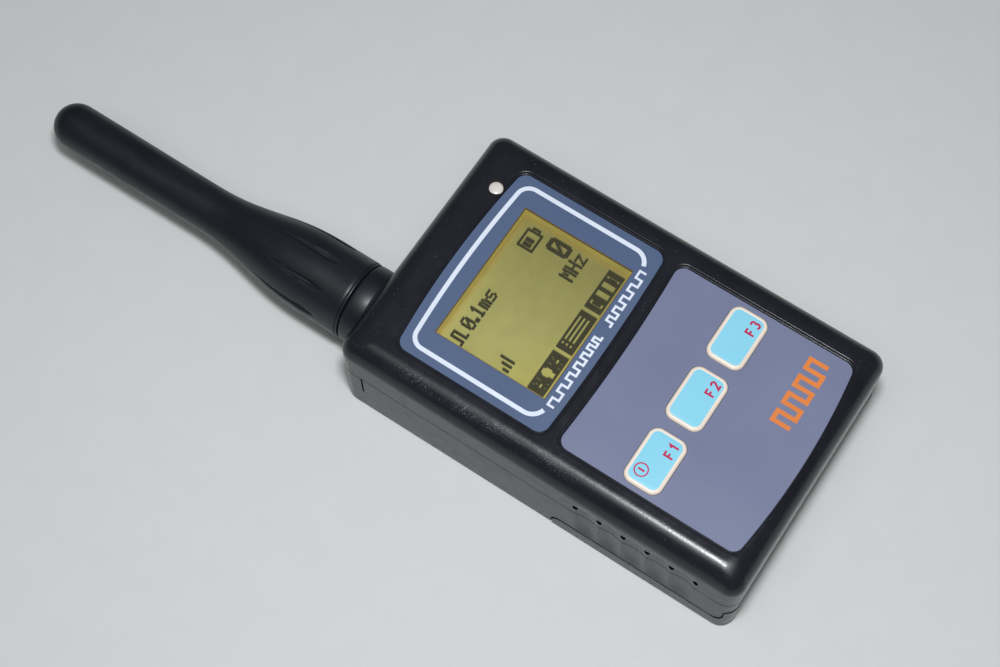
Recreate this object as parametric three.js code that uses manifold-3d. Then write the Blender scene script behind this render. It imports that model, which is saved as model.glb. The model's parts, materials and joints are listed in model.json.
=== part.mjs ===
// Handheld frequency counter: a two-part case with a display, three keys, a sliding battery
// cover and a screw-on stub antenna. Millimetres, +Z up. The instrument lies on its back with
// its origin at the centre of the back face: +X to its right, +Y towards the antenna.

import * as THREE from 'three';
import Module from 'manifold-3d';
import { mergeVertices } from 'three/addons/utils/BufferGeometryUtils.js';

const wasm = await Module();
wasm.setup();

// Driving dimensions ------------------------------------------------------------------------

const CLEARANCE = 0.3;          // air gap between neighbouring pieces
const GLUE_LINE = 0.05;         // gap under a piece that rests on or is bonded to its neighbour

const CASE_WIDTH = 60;
const CASE_LENGTH = 94.8;
const CASE_DEPTH = 27.6;
const WALL = 2;
const FRONT_WALL = 2.2;
const PLAN_RADIUS = 3.3;        // upright corner edges
const FRONT_FILLET = 5;
const BACK_FILLET = 1.6;
const PARTING_Z = 15.5;         // where the front and rear shells meet
const REAR_WALL = 2.2;

const RECESS_GAP = 0.25;        // around the printed overlays in their recesses
const SEAT_GAP = 0.1;           // around the window lens in its seat
const LED_GAP = 0.12;

const RECESS_DEPTH = 0.6;       // the printed overlays lie in shallow recesses
const OVERLAY_THICKNESS = 0.35;

const WINDOW = { width: 33.3, low: 5.5, high: 31.8 };
const WINDOW_OVERLAY = { width: 46.6, low: 1.6, high: 36.9, bowHigh: 1.1, bowLow: -0.5, radius: 2.4 };
const KEYPAD_OVERLAY = { width: 46.3, low: -42.7, high: -1.6, bowHigh: -0.65, bowLow: -1.4, radius: 2.2 };
const LENS_MARGIN = 1.4;
const LENS_THICKNESS = 0.8;

const KEY = { width: 13, length: 8.5, radius: 2.2, pitch: 15.55, y: -19.6, rim: 0.95, proud: 0.55 };
const KEY_FLANGE = 0.8;         // how far the retaining flange stands out below the front wall
const KEY_NAMES = ['f1', 'f2', 'f3'];

const LED = { x: 17.1, y: 39.4, radius: 1.5 };

const BOARD_TOP = 20.2;         // main board, component face
const BOARD_THICKNESS = 1.6;
const INPUT_BOARD_TOP = 12.3;

const CASE_SCREWS = [[-25, 41.6], [25, 41.6], [-24, -41], [24, -41]];
const BOARD_SCREWS = [[-24.5, 33], [24.5, 33], [-24.5, -30], [24.5, -30]];
const INPUT_SCREWS = [[-18.5, 16], [5, 38.5]];
const CASE_SCREW = { head: 2.1, shank: 1.15, hole: 1.35, tip: 24 };
const BOARD_SCREW = { head: 1.7, shank: 0.85, hole: 1, boardHole: 1.2, headHeight: 1.36, tip: 24.2, inputTip: 6 };
const POST = { front: 3, board: 2.2, rear: 3.2, input: 2.4, well: 2.4, wellTop: 5 };
const OVERLAP = 0.5;            // how far a post runs into the wall that carries it

const COVER = { end: -5.4, back: 1.9, lip: 4.9, endWall: 9.8, wall: 1.6, round: 2.4, endDepth: 1.7, sweep: 2.5 };
const RAIL = { low: -44, high: -10, z: [3.1, 3.75], inside: 0.65, outside: 0.4 };
const RAIL_GROOVE = { high: -9.5, z: [2.8, 4.05], reach: 1 };
const THUMB_GROOVE = { first: -12, pitch: 2.4, count: 3, radius: 0.9, z: -0.55, halfWidth: 7 };
const BAY = { halfWidth: 26.4, low: -44, ceiling: 8.6, floorTop: 10.3 };
const BATTERY = { width: 43, length: 34, thickness: 5.5, y: -26.4, z: 2.7, round: 1.5 };
const FOAM = { halfWidth: 12, y: [-36, -18] };

const GRIP = { first: -10.4, pitch: 5.58, flutes: 5, depth: 0.4, low: 5.25, high: 19.4, pit: 0.5, pitZ: 18.9, pitLength: 1.6 };
const SEAM_MARK = { y: [41.4, 41.85], depth: 1.4, low: 8.3 };   // upright slit in the left wall

const ANTENNA = { x: -14.9, z: 13 };    // axis, parallel to +Y, starting on the case's end face
const COLLAR = { inner: 5.3, outer: 8.85, length: 4.75 };
const SLEEVE_BASE = 5.15;
const SLEEVE_TIP = 86;
const SMA_THREAD_RADIUS = 3.2;
const FINE = 32;                // sides of the round pieces that turn on each other
const ROUND = 20;
const COARSE = 10;
const CURVE_STEPS = 3;

const HALF_WIDTH = CASE_WIDTH / 2;
const HALF_LENGTH = CASE_LENGTH / 2;
const RECESS_FLOOR = CASE_DEPTH - RECESS_DEPTH;
const FRONT_INSIDE = CASE_DEPTH - FRONT_WALL;
const BOARD_BOTTOM = BOARD_TOP - BOARD_THICKNESS;

// Finishes ----------------------------------------------------------------------------------

const FINISH = {
  caseBlack: { color: 0x222629, roughness: 0.32, metalness: 0 },
  sleeveBlack: { color: 0x25282d, roughness: 0.5, metalness: 0 },
  overlayBlue: { color: 0x64728f, roughness: 0.45, metalness: 0 },
  overlayGrey: { color: 0x7a7f9b, roughness: 0.5, metalness: 0 },
  keyBlue: { color: 0x93ddf4, roughness: 0.35, metalness: 0 },
  clear: { color: 0xf2f6f8, roughness: 0.05, metalness: 0 },
  lcd: { color: 0xa4a366, roughness: 0.4, metalness: 0 },
  lightGuide: { color: 0xe6e8c8, roughness: 0.3, metalness: 0 },
  ledLens: { color: 0xded6cf, roughness: 0.25, metalness: 0 },
  tinned: { color: 0xb9bbb8, roughness: 0.35, metalness: 1 },
  steel: { color: 0x8d9094, roughness: 0.35, metalness: 1 },
  gold: { color: 0xd2ab58, roughness: 0.25, metalness: 1 },
  copper: { color: 0xb87248, roughness: 0.35, metalness: 1 },
  board: { color: 0x1f5b3a, roughness: 0.45, metalness: 0 },
  chip: { color: 0x1c1c1e, roughness: 0.6, metalness: 0 },
  rubber: { color: 0x3a3a3c, roughness: 0.9, metalness: 0 },
  foam: { color: 0x303134, roughness: 1, metalness: 0 },
  ptfe: { color: 0xf1f0ea, roughness: 0.5, metalness: 0 },
  nylon: { color: 0xd8d6c9, roughness: 0.6, metalness: 0 },
  battery: { color: 0x30343c, roughness: 0.4, metalness: 0 },
};

// Solids ------------------------------------------------------------------------------------

function toSolid(geometry) {
  const bare = geometry.clone();
  bare.deleteAttribute('normal');
  bare.deleteAttribute('uv');
  const merged = mergeVertices(bare, 1e-4);
  const index = merged.getIndex().array;
  const triangles = [];
  for (let i = 0; i < index.length; i += 3) {
    const [a, b, c] = [index[i], index[i + 1], index[i + 2]];
    if (a !== b && b !== c && c !== a) triangles.push(a, b, c);
  }
  return new wasm.Manifold(new wasm.Mesh({
    numProp: 3,
    vertProperties: new Float32Array(merged.getAttribute('position').array),
    triVerts: new Uint32Array(triangles),
  }));
}

function toGeometry(solid) {
  const mesh = solid.getMesh();
  const geometry = new THREE.BufferGeometry();
  geometry.setAttribute('position', new THREE.BufferAttribute(mesh.vertProperties, 3));
  geometry.setIndex(new THREE.BufferAttribute(mesh.triVerts, 1));
  geometry.computeVertexNormals();
  return geometry;
}

function block(x, y, z) {
  const geometry = new THREE.BoxGeometry(x[1] - x[0], y[1] - y[0], z[1] - z[0]);
  geometry.translate((x[0] + x[1]) / 2, (y[0] + y[1]) / 2, (z[0] + z[1]) / 2);
  return toSolid(geometry);
}

// A round rod from one height to another: upright, or lying along +Y or +X.
function rodUp(radius, [x, y], [low, high], sides = ROUND) {
  const geometry = new THREE.CylinderGeometry(radius, radius, high - low, sides);
  geometry.rotateX(Math.PI / 2).translate(x, y, (low + high) / 2);
  return toSolid(geometry);
}

function rodAlongY(radius, [x, z], [low, high], sides = ROUND) {
  const geometry = new THREE.CylinderGeometry(radius, radius, high - low, sides);
  geometry.translate(x, (low + high) / 2, z);
  return toSolid(geometry);
}

function rodAlongX(radius, [y, z], [low, high]) {
  const geometry = new THREE.CylinderGeometry(radius, radius, high - low, COARSE);
  geometry.rotateZ(Math.PI / 2).translate((low + high) / 2, y, z);
  return toSolid(geometry);
}

// A flat outline made into a plate between two heights, or a side outline (y, z) spread along X.
function plate(shape, [low, high]) {
  const geometry = new THREE.ExtrudeGeometry(shape, { depth: high - low, bevelEnabled: false, curveSegments: CURVE_STEPS });
  return toSolid(geometry.translate(0, 0, low));
}

function spreadAlongX(shape, [low, high]) {
  const geometry = new THREE.ExtrudeGeometry(shape, { depth: high - low, bevelEnabled: false, curveSegments: CURVE_STEPS });
  geometry.translate(0, 0, low).rotateX(Math.PI / 2).rotateZ(Math.PI / 2);
  return toSolid(geometry);
}

// A profile of [radius, height] pairs turned round the Y axis.
function turned(profile, sides = ROUND) {
  return toSolid(new THREE.LatheGeometry(profile.map(([r, y]) => new THREE.Vector2(r, y)), sides));
}

function ring(inner, outer, [low, high], sides = ROUND) {
  return turned([[inner, low], [outer, low], [outer, high], [inner, high], [inner, low]], sides);
}

const join = (solids) => solids.reduce((a, b) => a.add(b));
const cut = (solid, tools) => tools.reduce((a, b) => a.subtract(b), solid);

// A span of distances from the middle plane, taken to the right (+1) or to the left (-1) of it.
const onSide = (side, [near, far]) => (side > 0 ? [near, far] : [-far, -near]);

// Outlines ----------------------------------------------------------------------------------

function roundedRectangle(width, length, radius, [x, y] = [0, 0]) {
  const [w, l] = [width / 2, length / 2];
  const shape = new THREE.Shape();
  shape.absarc(x + w - radius, y - l + radius, radius, -Math.PI / 2, 0);
  shape.absarc(x + w - radius, y + l - radius, radius, 0, Math.PI / 2);
  shape.absarc(x - w + radius, y + l - radius, radius, Math.PI / 2, Math.PI);
  shape.absarc(x - w + radius, y - l + radius, radius, Math.PI, Math.PI * 1.5);
  shape.closePath();
  return shape;
}

// A rounded rectangle whose upper and lower edges bow towards +Y (positive) or -Y (negative).
function overlayOutline({ width, low, high, bowHigh, bowLow, radius }, grow = 0) {
  const w = width / 2 + grow;
  const [bottom, top] = [low - grow, high + grow];
  const r = radius + grow;
  const shape = new THREE.Shape();
  shape.moveTo(-w + r, bottom);
  shape.quadraticCurveTo(0, bottom + 2 * bowLow, w - r, bottom);
  shape.absarc(w - r, bottom + r, r, -Math.PI / 2, 0);
  shape.absarc(w - r, top - r, r, 0, Math.PI / 2);
  shape.quadraticCurveTo(0, top + 2 * bowHigh, -w + r, top);
  shape.absarc(-w + r, top - r, r, Math.PI / 2, Math.PI);
  shape.absarc(-w + r, bottom + r, r, Math.PI, Math.PI * 1.5);
  return shape;
}

// The case's outer form: level outlines stacked from the back fillet to the front fillet.
function caseForm() {
  const backSteps = 2;
  const frontSteps = 6;
  const levels = [];
  for (let k = 0; k <= backSteps; k += 1) {
    const turn = (k / backSteps) * (Math.PI / 2);
    levels.push([BACK_FILLET * (1 - Math.sin(turn)), BACK_FILLET * (1 - Math.cos(turn))]);
  }
  for (let k = 0; k <= frontSteps; k += 1) {
    const turn = (k / frontSteps) * (Math.PI / 2);
    levels.push([FRONT_FILLET * (1 - Math.cos(turn)), CASE_DEPTH - FRONT_FILLET * (1 - Math.sin(turn))]);
  }
  const rings = levels.map(([inset, z]) => {
    const radius = PLAN_RADIUS - 0.15 * inset;
    const outline = roundedRectangle(CASE_WIDTH - 2 * inset, CASE_LENGTH - 2 * inset, radius).getPoints(2);
    outline.pop();
    return outline.map((p) => new THREE.Vector3(p.x, p.y, z));
  });
  return toSolid(loft(rings));
}

// Joins rings of equally many points into one closed surface with flat ends.
function loft(rings) {
  const count = rings[0].length;
  const index = [];
  for (let k = 0; k + 1 < rings.length; k += 1) {
    for (let i = 0; i < count; i += 1) {
      const [a, b] = [k * count + i, k * count + ((i + 1) % count)];
      index.push(a, b, b + count, a, b + count, a + count);
    }
  }
  const lastRing = (rings.length - 1) * count;
  for (let i = 1; i + 1 < count; i += 1) {
    index.push(0, i + 1, i);
    index.push(lastRing, lastRing + i, lastRing + i + 1);
  }
  const geometry = new THREE.BufferGeometry().setFromPoints(rings.flat());
  geometry.setIndex(index);
  return geometry;
}

// Assembly ----------------------------------------------------------------------------------

const counter = new THREE.Group();
const antennaAxis = new THREE.Group();
antennaAxis.position.set(ANTENNA.x, HALF_LENGTH, ANTENNA.z);
counter.add(antennaAxis);

function addPart(name, solid, finish, parent = counter) {
  const mesh = new THREE.Mesh(toGeometry(solid), new THREE.MeshStandardMaterial(finish));
  mesh.name = name;
  parent.add(mesh);
}

// Case --------------------------------------------------------------------------------------

const chargeSocket = { x: LED.x, z: 14.9, radius: 2.4 };
const hollowX = [-HALF_WIDTH + WALL, HALF_WIDTH - WALL];
const hollowY = [-HALF_LENGTH + WALL, HALF_LENGTH - WALL];
const beyond = HALF_LENGTH + 5;
const across = [-40, 40];
const holeStart = HALF_LENGTH - 4;
const jackHoleRadius = 3.5;

function gripFlutes() {
  const { first, pitch, flutes, depth, low, high, pit, pitZ, pitLength } = GRIP;
  const [fluteSides, pitSides] = [48, 6];
  const radius = (pitch * pitch) / (8 * depth) + depth / 2;
  const x = HALF_WIDTH - depth + radius;
  const tools = [];
  for (const side of [-1, 1]) {
    for (let k = 0; k < flutes; k += 1) {
      tools.push(rodUp(radius, [side * x, first - pitch * (k + 0.5)], [low, high], fluteSides));
    }
    for (let k = 0; k <= flutes; k += 1) {
      const hole = new THREE.CylinderGeometry(pit, pit, pitLength, pitSides);
      hole.rotateZ(Math.PI / 2).translate(side * HALF_WIDTH, first - pitch * k, pitZ);
      tools.push(toSolid(hole));
    }
  }
  return tools;
}

const endHoles = [
  rodAlongY(jackHoleRadius, [ANTENNA.x, ANTENNA.z], [holeStart, beyond]),
  rodAlongY(chargeSocket.radius + CLEARANCE, [chargeSocket.x, chargeSocket.z], [holeStart, beyond]),
];

function frontShell() {
  const above = block([-HALF_WIDTH, HALF_WIDTH], [-beyond, beyond], [PARTING_Z + CLEARANCE / 2, CASE_DEPTH + 1]);
  const posts = CASE_SCREWS.map((at) => rodUp(POST.front, at, [PARTING_Z + CLEARANCE, FRONT_INSIDE + OVERLAP], COARSE));
  const boardPosts = BOARD_SCREWS.map((at) => rodUp(POST.board, at, [BOARD_TOP + GLUE_LINE, FRONT_INSIDE + OVERLAP], COARSE));
  const hollow = block(hollowX, hollowY, [0, FRONT_INSIDE]);
  const { width, low, high } = WINDOW;
  const recess = [RECESS_FLOOR, CASE_DEPTH + 1];
  const through = [FRONT_INSIDE - 1, CASE_DEPTH + 1];
  const seat = LENS_MARGIN + SEAT_GAP;
  const screwTop = FRONT_INSIDE - 0.6;
  const lensSeat = [
    [-width / 2 - seat, width / 2 + seat],
    [low - seat, high + seat],
    [RECESS_FLOOR - LENS_THICKNESS - 2 * GLUE_LINE, CASE_DEPTH],
  ];
  return cut(join([above.intersect(caseForm()).subtract(hollow), ...posts, ...boardPosts]), [
    plate(overlayOutline(WINDOW_OVERLAY, RECESS_GAP), recess),
    plate(overlayOutline(KEYPAD_OVERLAY, RECESS_GAP), recess),
    block([-width / 2, width / 2], [low, high], through),
    block(...lensSeat),
    ...keyCentres().map((at) => keyPlate(CLEARANCE, at, through)),
    rodUp(LED.radius + LED_GAP, [LED.x, LED.y], through),
    ...CASE_SCREWS.map((at) => rodUp(CASE_SCREW.hole, at, [PARTING_Z, screwTop], COARSE)),
    ...BOARD_SCREWS.map((at) => rodUp(BOARD_SCREW.hole, at, [BOARD_TOP - 1, screwTop], COARSE)),
    ...gripFlutes(),
    ...endHoles,
  ]);
}

// The battery cover's side outline: a low lip along the sides that rises into the end wall.
function coverOutline(grow) {
  const [end, lip, top] = [COVER.end + grow, COVER.lip + grow, COVER.endWall + grow];
  const shape = new THREE.Shape();
  const rise = -HALF_LENGTH + COVER.endDepth + grow;
  shape.moveTo(end, -1);
  shape.lineTo(end, lip - COVER.round);
  shape.quadraticCurveTo(end, lip, end - COVER.round, lip);
  shape.lineTo(rise + COVER.sweep, lip);
  shape.quadraticCurveTo(rise, lip, rise, top);
  shape.lineTo(-beyond, top);
  shape.lineTo(-beyond, -1);
  return shape;
}

const coverInnerX = HALF_WIDTH - COVER.wall;
const coverInnerY = -HALF_LENGTH + 1.5;
const coverInnerEnd = 10;       // well past the cover's end and above its lip
const coverInnerTop = 20;

function rearShell() {
  const below = block([-HALF_WIDTH, HALF_WIDTH], [-beyond, beyond], [-1, PARTING_Z - CLEARANCE / 2]);
  const bayEnd = COVER.end + CLEARANCE;
  const bayCore = block(
    [-coverInnerX + CLEARANCE, coverInnerX - CLEARANCE],
    [coverInnerY + CLEARANCE, coverInnerEnd],
    [COVER.back + CLEARANCE, coverInnerTop],
  );
  const coverSpace = spreadAlongX(coverOutline(CLEARANCE), across).subtract(bayCore);
  const form = cut(below.intersect(caseForm()), [
    block(hollowX, hollowY, [BAY.floorTop, PARTING_Z]),
    block(hollowX, [bayEnd + WALL, hollowY[1]], [REAR_WALL, PARTING_Z]),
    block([-BAY.halfWidth, BAY.halfWidth], [BAY.low, bayEnd], [-1, BAY.ceiling]),
    coverSpace,
    block([-FOAM.halfWidth - 1, FOAM.halfWidth + 1], [-beyond, BAY.low + 1], [0, BATTERY.z + 0.2]),
  ]);
  const bossTop = PARTING_Z - CLEARANCE;
  const upper = CASE_SCREWS.slice(0, 2);
  const lower = CASE_SCREWS.slice(2);
  const bosses = [
    ...upper.map((at) => rodUp(POST.rear, at, [1, bossTop], COARSE)),
    ...lower.map((at) => rodUp(POST.front, at, [BAY.floorTop - 1, bossTop], COARSE)),
    ...INPUT_SCREWS.map((at) => rodUp(POST.input, at, [1, INPUT_BOARD_TOP - BOARD_THICKNESS - GLUE_LINE], COARSE)),
  ];
  const grooves = [-1, 1].map((side) => {
    const x = [coverInnerX - RAIL_GROOVE.reach, coverInnerX + RAIL_GROOVE.reach];
    return block(onSide(side, x), [-beyond, RAIL_GROOVE.high], RAIL_GROOVE.z);
  });
  return cut(join([form, ...bosses]), [
    ...upper.map((at) => rodUp(POST.well, at, [-1, POST.wellTop], COARSE)),
    ...CASE_SCREWS.map((at) => rodUp(CASE_SCREW.hole, at, [-1, PARTING_Z], COARSE)),
    ...INPUT_SCREWS.map((at) => rodUp(BOARD_SCREW.hole, at, [4, INPUT_BOARD_TOP], COARSE)),
    block([-HALF_WIDTH - 1, -HALF_WIDTH + SEAM_MARK.depth], SEAM_MARK.y, [SEAM_MARK.low, PARTING_Z]),
    ...grooves,
    ...gripFlutes(),
    ...endHoles,
  ]);
}

function batteryCover() {
  const inside = block([-coverInnerX, coverInnerX], [coverInnerY, coverInnerEnd], [COVER.back, coverInnerTop]);
  const body = caseForm().intersect(spreadAlongX(coverOutline(0), across)).subtract(inside);
  const rails = [-1, 1].map((side) => {
    const x = [coverInnerX - RAIL.inside, coverInnerX + RAIL.outside];
    return block(onSide(side, x), [RAIL.low, RAIL.high], RAIL.z);
  });
  const { first, pitch, count, radius, z, halfWidth } = THUMB_GROOVE;
  const thumbGrooves = Array.from({ length: count }, (_, k) => (
    rodAlongX(radius, [first - pitch * k, z], [-halfWidth, halfWidth])
  ));
  return cut(join([body, ...rails]), thumbGrooves);
}

// Screws: a domed head below, a plain shank above.
function screw({ head, shank }, [x, y], headBase, tip) {
  const height = head * 0.8;
  const profile = [
    [0, 0], [head * 0.75, 0], [head, height * 0.45], [head, height],
    [shank, height], [shank, tip - headBase - shank], [0, tip - headBase],
  ];
  const geometry = new THREE.LatheGeometry(profile.map(([r, h]) => new THREE.Vector2(r, h)), COARSE);
  return toSolid(geometry.rotateX(Math.PI / 2).translate(x, y, headBase));
}

function downScrew(size, [x, y], headTop, tip) {
  return screw(size, [x, -y], -headTop, -tip).rotate([180, 0, 0]);
}

addPart('front_shell', frontShell(), FINISH.caseBlack);
addPart('rear_shell', rearShell(), FINISH.caseBlack);
addPart('battery_cover', batteryCover(), FINISH.caseBlack);
CASE_SCREWS.forEach((at, i) => {
  const headBase = i < 2 ? 3.2 : BAY.ceiling - 1.75;
  addPart(`case_screw_${i + 1}`, screw(CASE_SCREW, at, headBase, CASE_SCREW.tip), FINISH.steel);
});

// Front panel -------------------------------------------------------------------------------

function keyCentres() {
  return KEY_NAMES.map((_, i) => [(i - 1) * KEY.pitch, KEY.y]);
}

function keyPlate(grow, at, heights) {
  return plate(roundedRectangle(KEY.width + 2 * grow, KEY.length + 2 * grow, KEY.radius + grow, at), heights);
}

const overlayHeights = [RECESS_FLOOR + GLUE_LINE, RECESS_FLOOR + GLUE_LINE + OVERLAY_THICKNESS];
const overlayTop = overlayHeights[1];
const windowHole = block([-WINDOW.width / 2, WINDOW.width / 2], [WINDOW.low, WINDOW.high], [20, 30]);

addPart('window_overlay', plate(overlayOutline(WINDOW_OVERLAY), overlayHeights).subtract(windowHole), FINISH.overlayBlue);
addPart('window_lens', block(
  [-WINDOW.width / 2 - LENS_MARGIN, WINDOW.width / 2 + LENS_MARGIN],
  [WINDOW.low - LENS_MARGIN, WINDOW.high + LENS_MARGIN],
  [RECESS_FLOOR - LENS_THICKNESS - GLUE_LINE, RECESS_FLOOR - GLUE_LINE],
), FINISH.clear);
addPart('keypad_overlay', cut(
  plate(overlayOutline(KEYPAD_OVERLAY), overlayHeights),
  keyCentres().map((at) => keyPlate(CLEARANCE, at, [20, 30])),
), FINISH.overlayGrey);

const SWITCH_TOP = BOARD_TOP + 3.55;
const PLUNGER = { radius: 1.75, bore: 1.95, low: BOARD_TOP + 2.2, high: BOARD_TOP + 4.15 };
const FLANGE = [FRONT_INSIDE - 0.9, FRONT_INSIDE - CLEARANCE];

keyCentres().forEach((at, i) => {
  const [x, y] = at;
  const crown = overlayTop + KEY.proud;
  const cap = keyPlate(0, at, [FLANGE[0], crown]).add(keyPlate(KEY_FLANGE, at, FLANGE));
  const dish = keyPlate(-KEY.rim, at, [crown - 0.25, crown + 1]);
  addPart(`key_${KEY_NAMES[i]}`, cap.subtract(dish), FINISH.keyBlue);

  const housing = block([x - 3.1, x + 3.1], [y - 3.1, y + 3.1], [BOARD_TOP + GLUE_LINE, SWITCH_TOP]);
  const bore = rodUp(PLUNGER.bore, at, [PLUNGER.low - 0.8, SWITCH_TOP + 1]);
  addPart(`switch_${KEY_NAMES[i]}`, housing.subtract(bore), FINISH.chip);
  addPart(`plunger_${KEY_NAMES[i]}`, rodUp(PLUNGER.radius, at, [PLUNGER.low, PLUNGER.high]), FINISH.chip);
});

// Display -----------------------------------------------------------------------------------

const LCD = { halfWidth: 19.4, low: 3.8, high: 33.3, glassTop: 24.2, glass: 1.6, guide: 1.7 };

function lcdFrame() {
  const wall = 0.5;
  const gap = 0.35;
  const x = LCD.halfWidth + gap;
  const y = [LCD.low - gap, LCD.high + gap];
  const top = LCD.glassTop + 0.2;
  const tray = block([-x - wall, x + wall], [y[0] - wall, y[1] + wall], [BOARD_TOP + GLUE_LINE, top + wall]);
  const inside = block([-x, x], y, [BOARD_TOP - 1, top]);
  const opening = block([-WINDOW.width / 2 - 0.6, WINDOW.width / 2 + 0.6], [WINDOW.low - 0.6, WINDOW.high + 0.6], [top - 1, top + 1]);
  return cut(tray, [inside, opening]);
}

const lcdX = [-LCD.halfWidth, LCD.halfWidth];
addPart('lcd_frame', lcdFrame(), FINISH.tinned);
addPart('lcd_glass', block(lcdX, [LCD.low, LCD.high], [LCD.glassTop - LCD.glass, LCD.glassTop]), FINISH.lcd);
addPart('lcd_backlight', block(lcdX, [LCD.low + 2.4, LCD.high], [BOARD_TOP + 0.4, BOARD_TOP + 0.4 + LCD.guide]), FINISH.lightGuide);
addPart('lcd_contact_strip', block([-17, 17], [LCD.low + 0.2, LCD.low + 2], [BOARD_TOP + 0.1, BOARD_TOP + 2.3]), FINISH.rubber);

function statusLed() {
  const { x, y, radius } = LED;
  const flangeBase = BOARD_TOP + 1.8;
  const top = CASE_DEPTH - 0.15;
  const steps = 4;
  const profile = [[0, 0], [radius + 0.4, 0], [radius + 0.4, 0.9], [radius, 0.9]];
  for (let k = 0; k <= steps; k += 1) {
    const turn = (k / steps) * (Math.PI / 2);
    profile.push([k === steps ? 0 : radius * Math.cos(turn), top - flangeBase - 1.1 + 1.1 * Math.sin(turn)]);
  }
  const lens = new THREE.LatheGeometry(profile.map(([r, h]) => new THREE.Vector2(r, h)), ROUND);
  const legs = [-1, 1].map((side) => {
    const legX = x + side * 1.27;
    return block([legX - 0.25, legX + 0.25], [y - 0.25, y + 0.25], [BOARD_TOP + GLUE_LINE, flangeBase + 0.2]);
  });
  return join([toSolid(lens.rotateX(Math.PI / 2).translate(x, y, flangeBase)), ...legs]);
}

addPart('status_led', statusLed(), FINISH.ledLens);

// Boards and what stands on them ------------------------------------------------------------

function mainBoard() {
  const margin = 0.6;
  const board = block([hollowX[0] + margin, hollowX[1] - margin], [hollowY[0] + margin, hollowY[1] - margin], [BOARD_BOTTOM, BOARD_TOP]);
  const notches = CASE_SCREWS.map(([x, y]) => {
    const spanX = [Math.sign(x) * (Math.abs(x) - 3.6), Math.sign(x) * 40].sort((a, b) => a - b);
    const spanY = [Math.sign(y) * (Math.abs(y) - 3.6), Math.sign(y) * 60].sort((a, b) => a - b);
    return block(spanX, spanY, [10, 30]);
  });
  return cut(board, [
    ...notches,
    ...BOARD_SCREWS.map((at) => rodUp(BOARD_SCREW.boardHole, at, [10, 30], COARSE)),
  ]);
}

function inputBoard() {
  const board = block([-21.5, 8], [13, 41.9], [INPUT_BOARD_TOP - BOARD_THICKNESS, INPUT_BOARD_TOP]);
  return cut(board, INPUT_SCREWS.map((at) => rodUp(BOARD_SCREW.boardHole, at, [5, 20], COARSE)));
}

function shieldCan() {
  const sheet = 0.4;
  const [x, y, z] = [[-20, -1], [19, 37.5], [INPUT_BOARD_TOP + GLUE_LINE, INPUT_BOARD_TOP + 3.6]];
  const inside = block([x[0] + sheet, x[1] - sheet], [y[0] + sheet, y[1] - sheet], [z[0] - 1, z[1] - sheet]);
  return block(x, y, z).subtract(inside);
}

function chargeJack() {
  const { x, z, radius } = chargeSocket;
  const body = block([x - 4.5, x + 4.5], [35, HALF_LENGTH - WALL - 0.2], [z - 3.4, BOARD_BOTTOM - GLUE_LINE]);
  const nose = rodAlongY(radius, [x, z], [HALF_LENGTH - 4, HALF_LENGTH]);
  const socket = rodAlongY(1.75, [x, z], [38, beyond]);
  const pin = rodAlongY(0.65, [x, z], [37, HALF_LENGTH - 1], COARSE);
  return body.add(nose).subtract(socket).add(pin);
}

addPart('main_board', mainBoard(), FINISH.board);
BOARD_SCREWS.forEach((at, i) => {
  addPart(`board_screw_${i + 1}`, screw(BOARD_SCREW, at, BOARD_BOTTOM - BOARD_SCREW.headHeight - GLUE_LINE, BOARD_SCREW.tip), FINISH.steel);
});
addPart('microcontroller', block([-6, 6], [-36, -24], [BOARD_BOTTOM - 1.6, BOARD_BOTTOM - GLUE_LINE]), FINISH.chip);
addPart('reference_oscillator', block([-20, -9], [-16, -6], [BOARD_BOTTOM - 4, BOARD_BOTTOM - GLUE_LINE]), FINISH.tinned);
addPart('charge_jack', chargeJack(), FINISH.chip);

addPart('input_board', inputBoard(), FINISH.board);
INPUT_SCREWS.forEach((at, i) => {
  const headTop = INPUT_BOARD_TOP + BOARD_SCREW.headHeight + GLUE_LINE;
  addPart(`input_screw_${i + 1}`, downScrew(BOARD_SCREW, at, headTop, BOARD_SCREW.inputTip), FINISH.steel);
});
addPart('shield_can', shieldCan(), FINISH.tinned);
addPart('prescaler_chip', block([-14, -9], [26, 30], [INPUT_BOARD_TOP + GLUE_LINE, INPUT_BOARD_TOP + 1.6]), FINISH.chip);
addPart('board_connector', block([1.5, 6.5], [17, 32], [INPUT_BOARD_TOP + GLUE_LINE, BOARD_BOTTOM - GLUE_LINE]), FINISH.chip);

// Battery -----------------------------------------------------------------------------------

const CONTACT_PITCH = 3.5;
const batteryEnd = BATTERY.y + BATTERY.length / 2;

// A bent strip: a foot in the contact block, an arm reaching out to the battery's terminal.
function contactLeaf(x) {
  const [tip, root] = [batteryEnd + 0.05, COVER.end - 0.4];
  const outline = [
    [root, 3.4], [root, 7], [root - 0.3, 7], [root - 0.3, 3.7], [tip + 0.75, 4.3], [tip + 0.3, 5.2],
    [tip + 1.05, 6.4], [tip + 0.8, 6.6], [tip, 5.2], [tip + 0.55, 4.05], [root - 0.2, 3.4],
  ];
  const shape = new THREE.Shape(outline.map(([y, z]) => new THREE.Vector2(y, z)));
  return spreadAlongX(shape, [x - 0.6, x + 0.6]);
}

function contactBlock() {
  const body = block([-7, 7], [batteryEnd + 0.6, COVER.end + CLEARANCE - 0.2], [COVER.back + 0.6, BAY.ceiling - 0.3]);
  const slots = [-1, 0, 1].map((k) => {
    const x = k * CONTACT_PITCH;
    return block([x - 0.9, x + 0.9], [-20, COVER.end - 0.1], [3.1, 7.3]);
  });
  return cut(body, slots);
}

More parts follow.
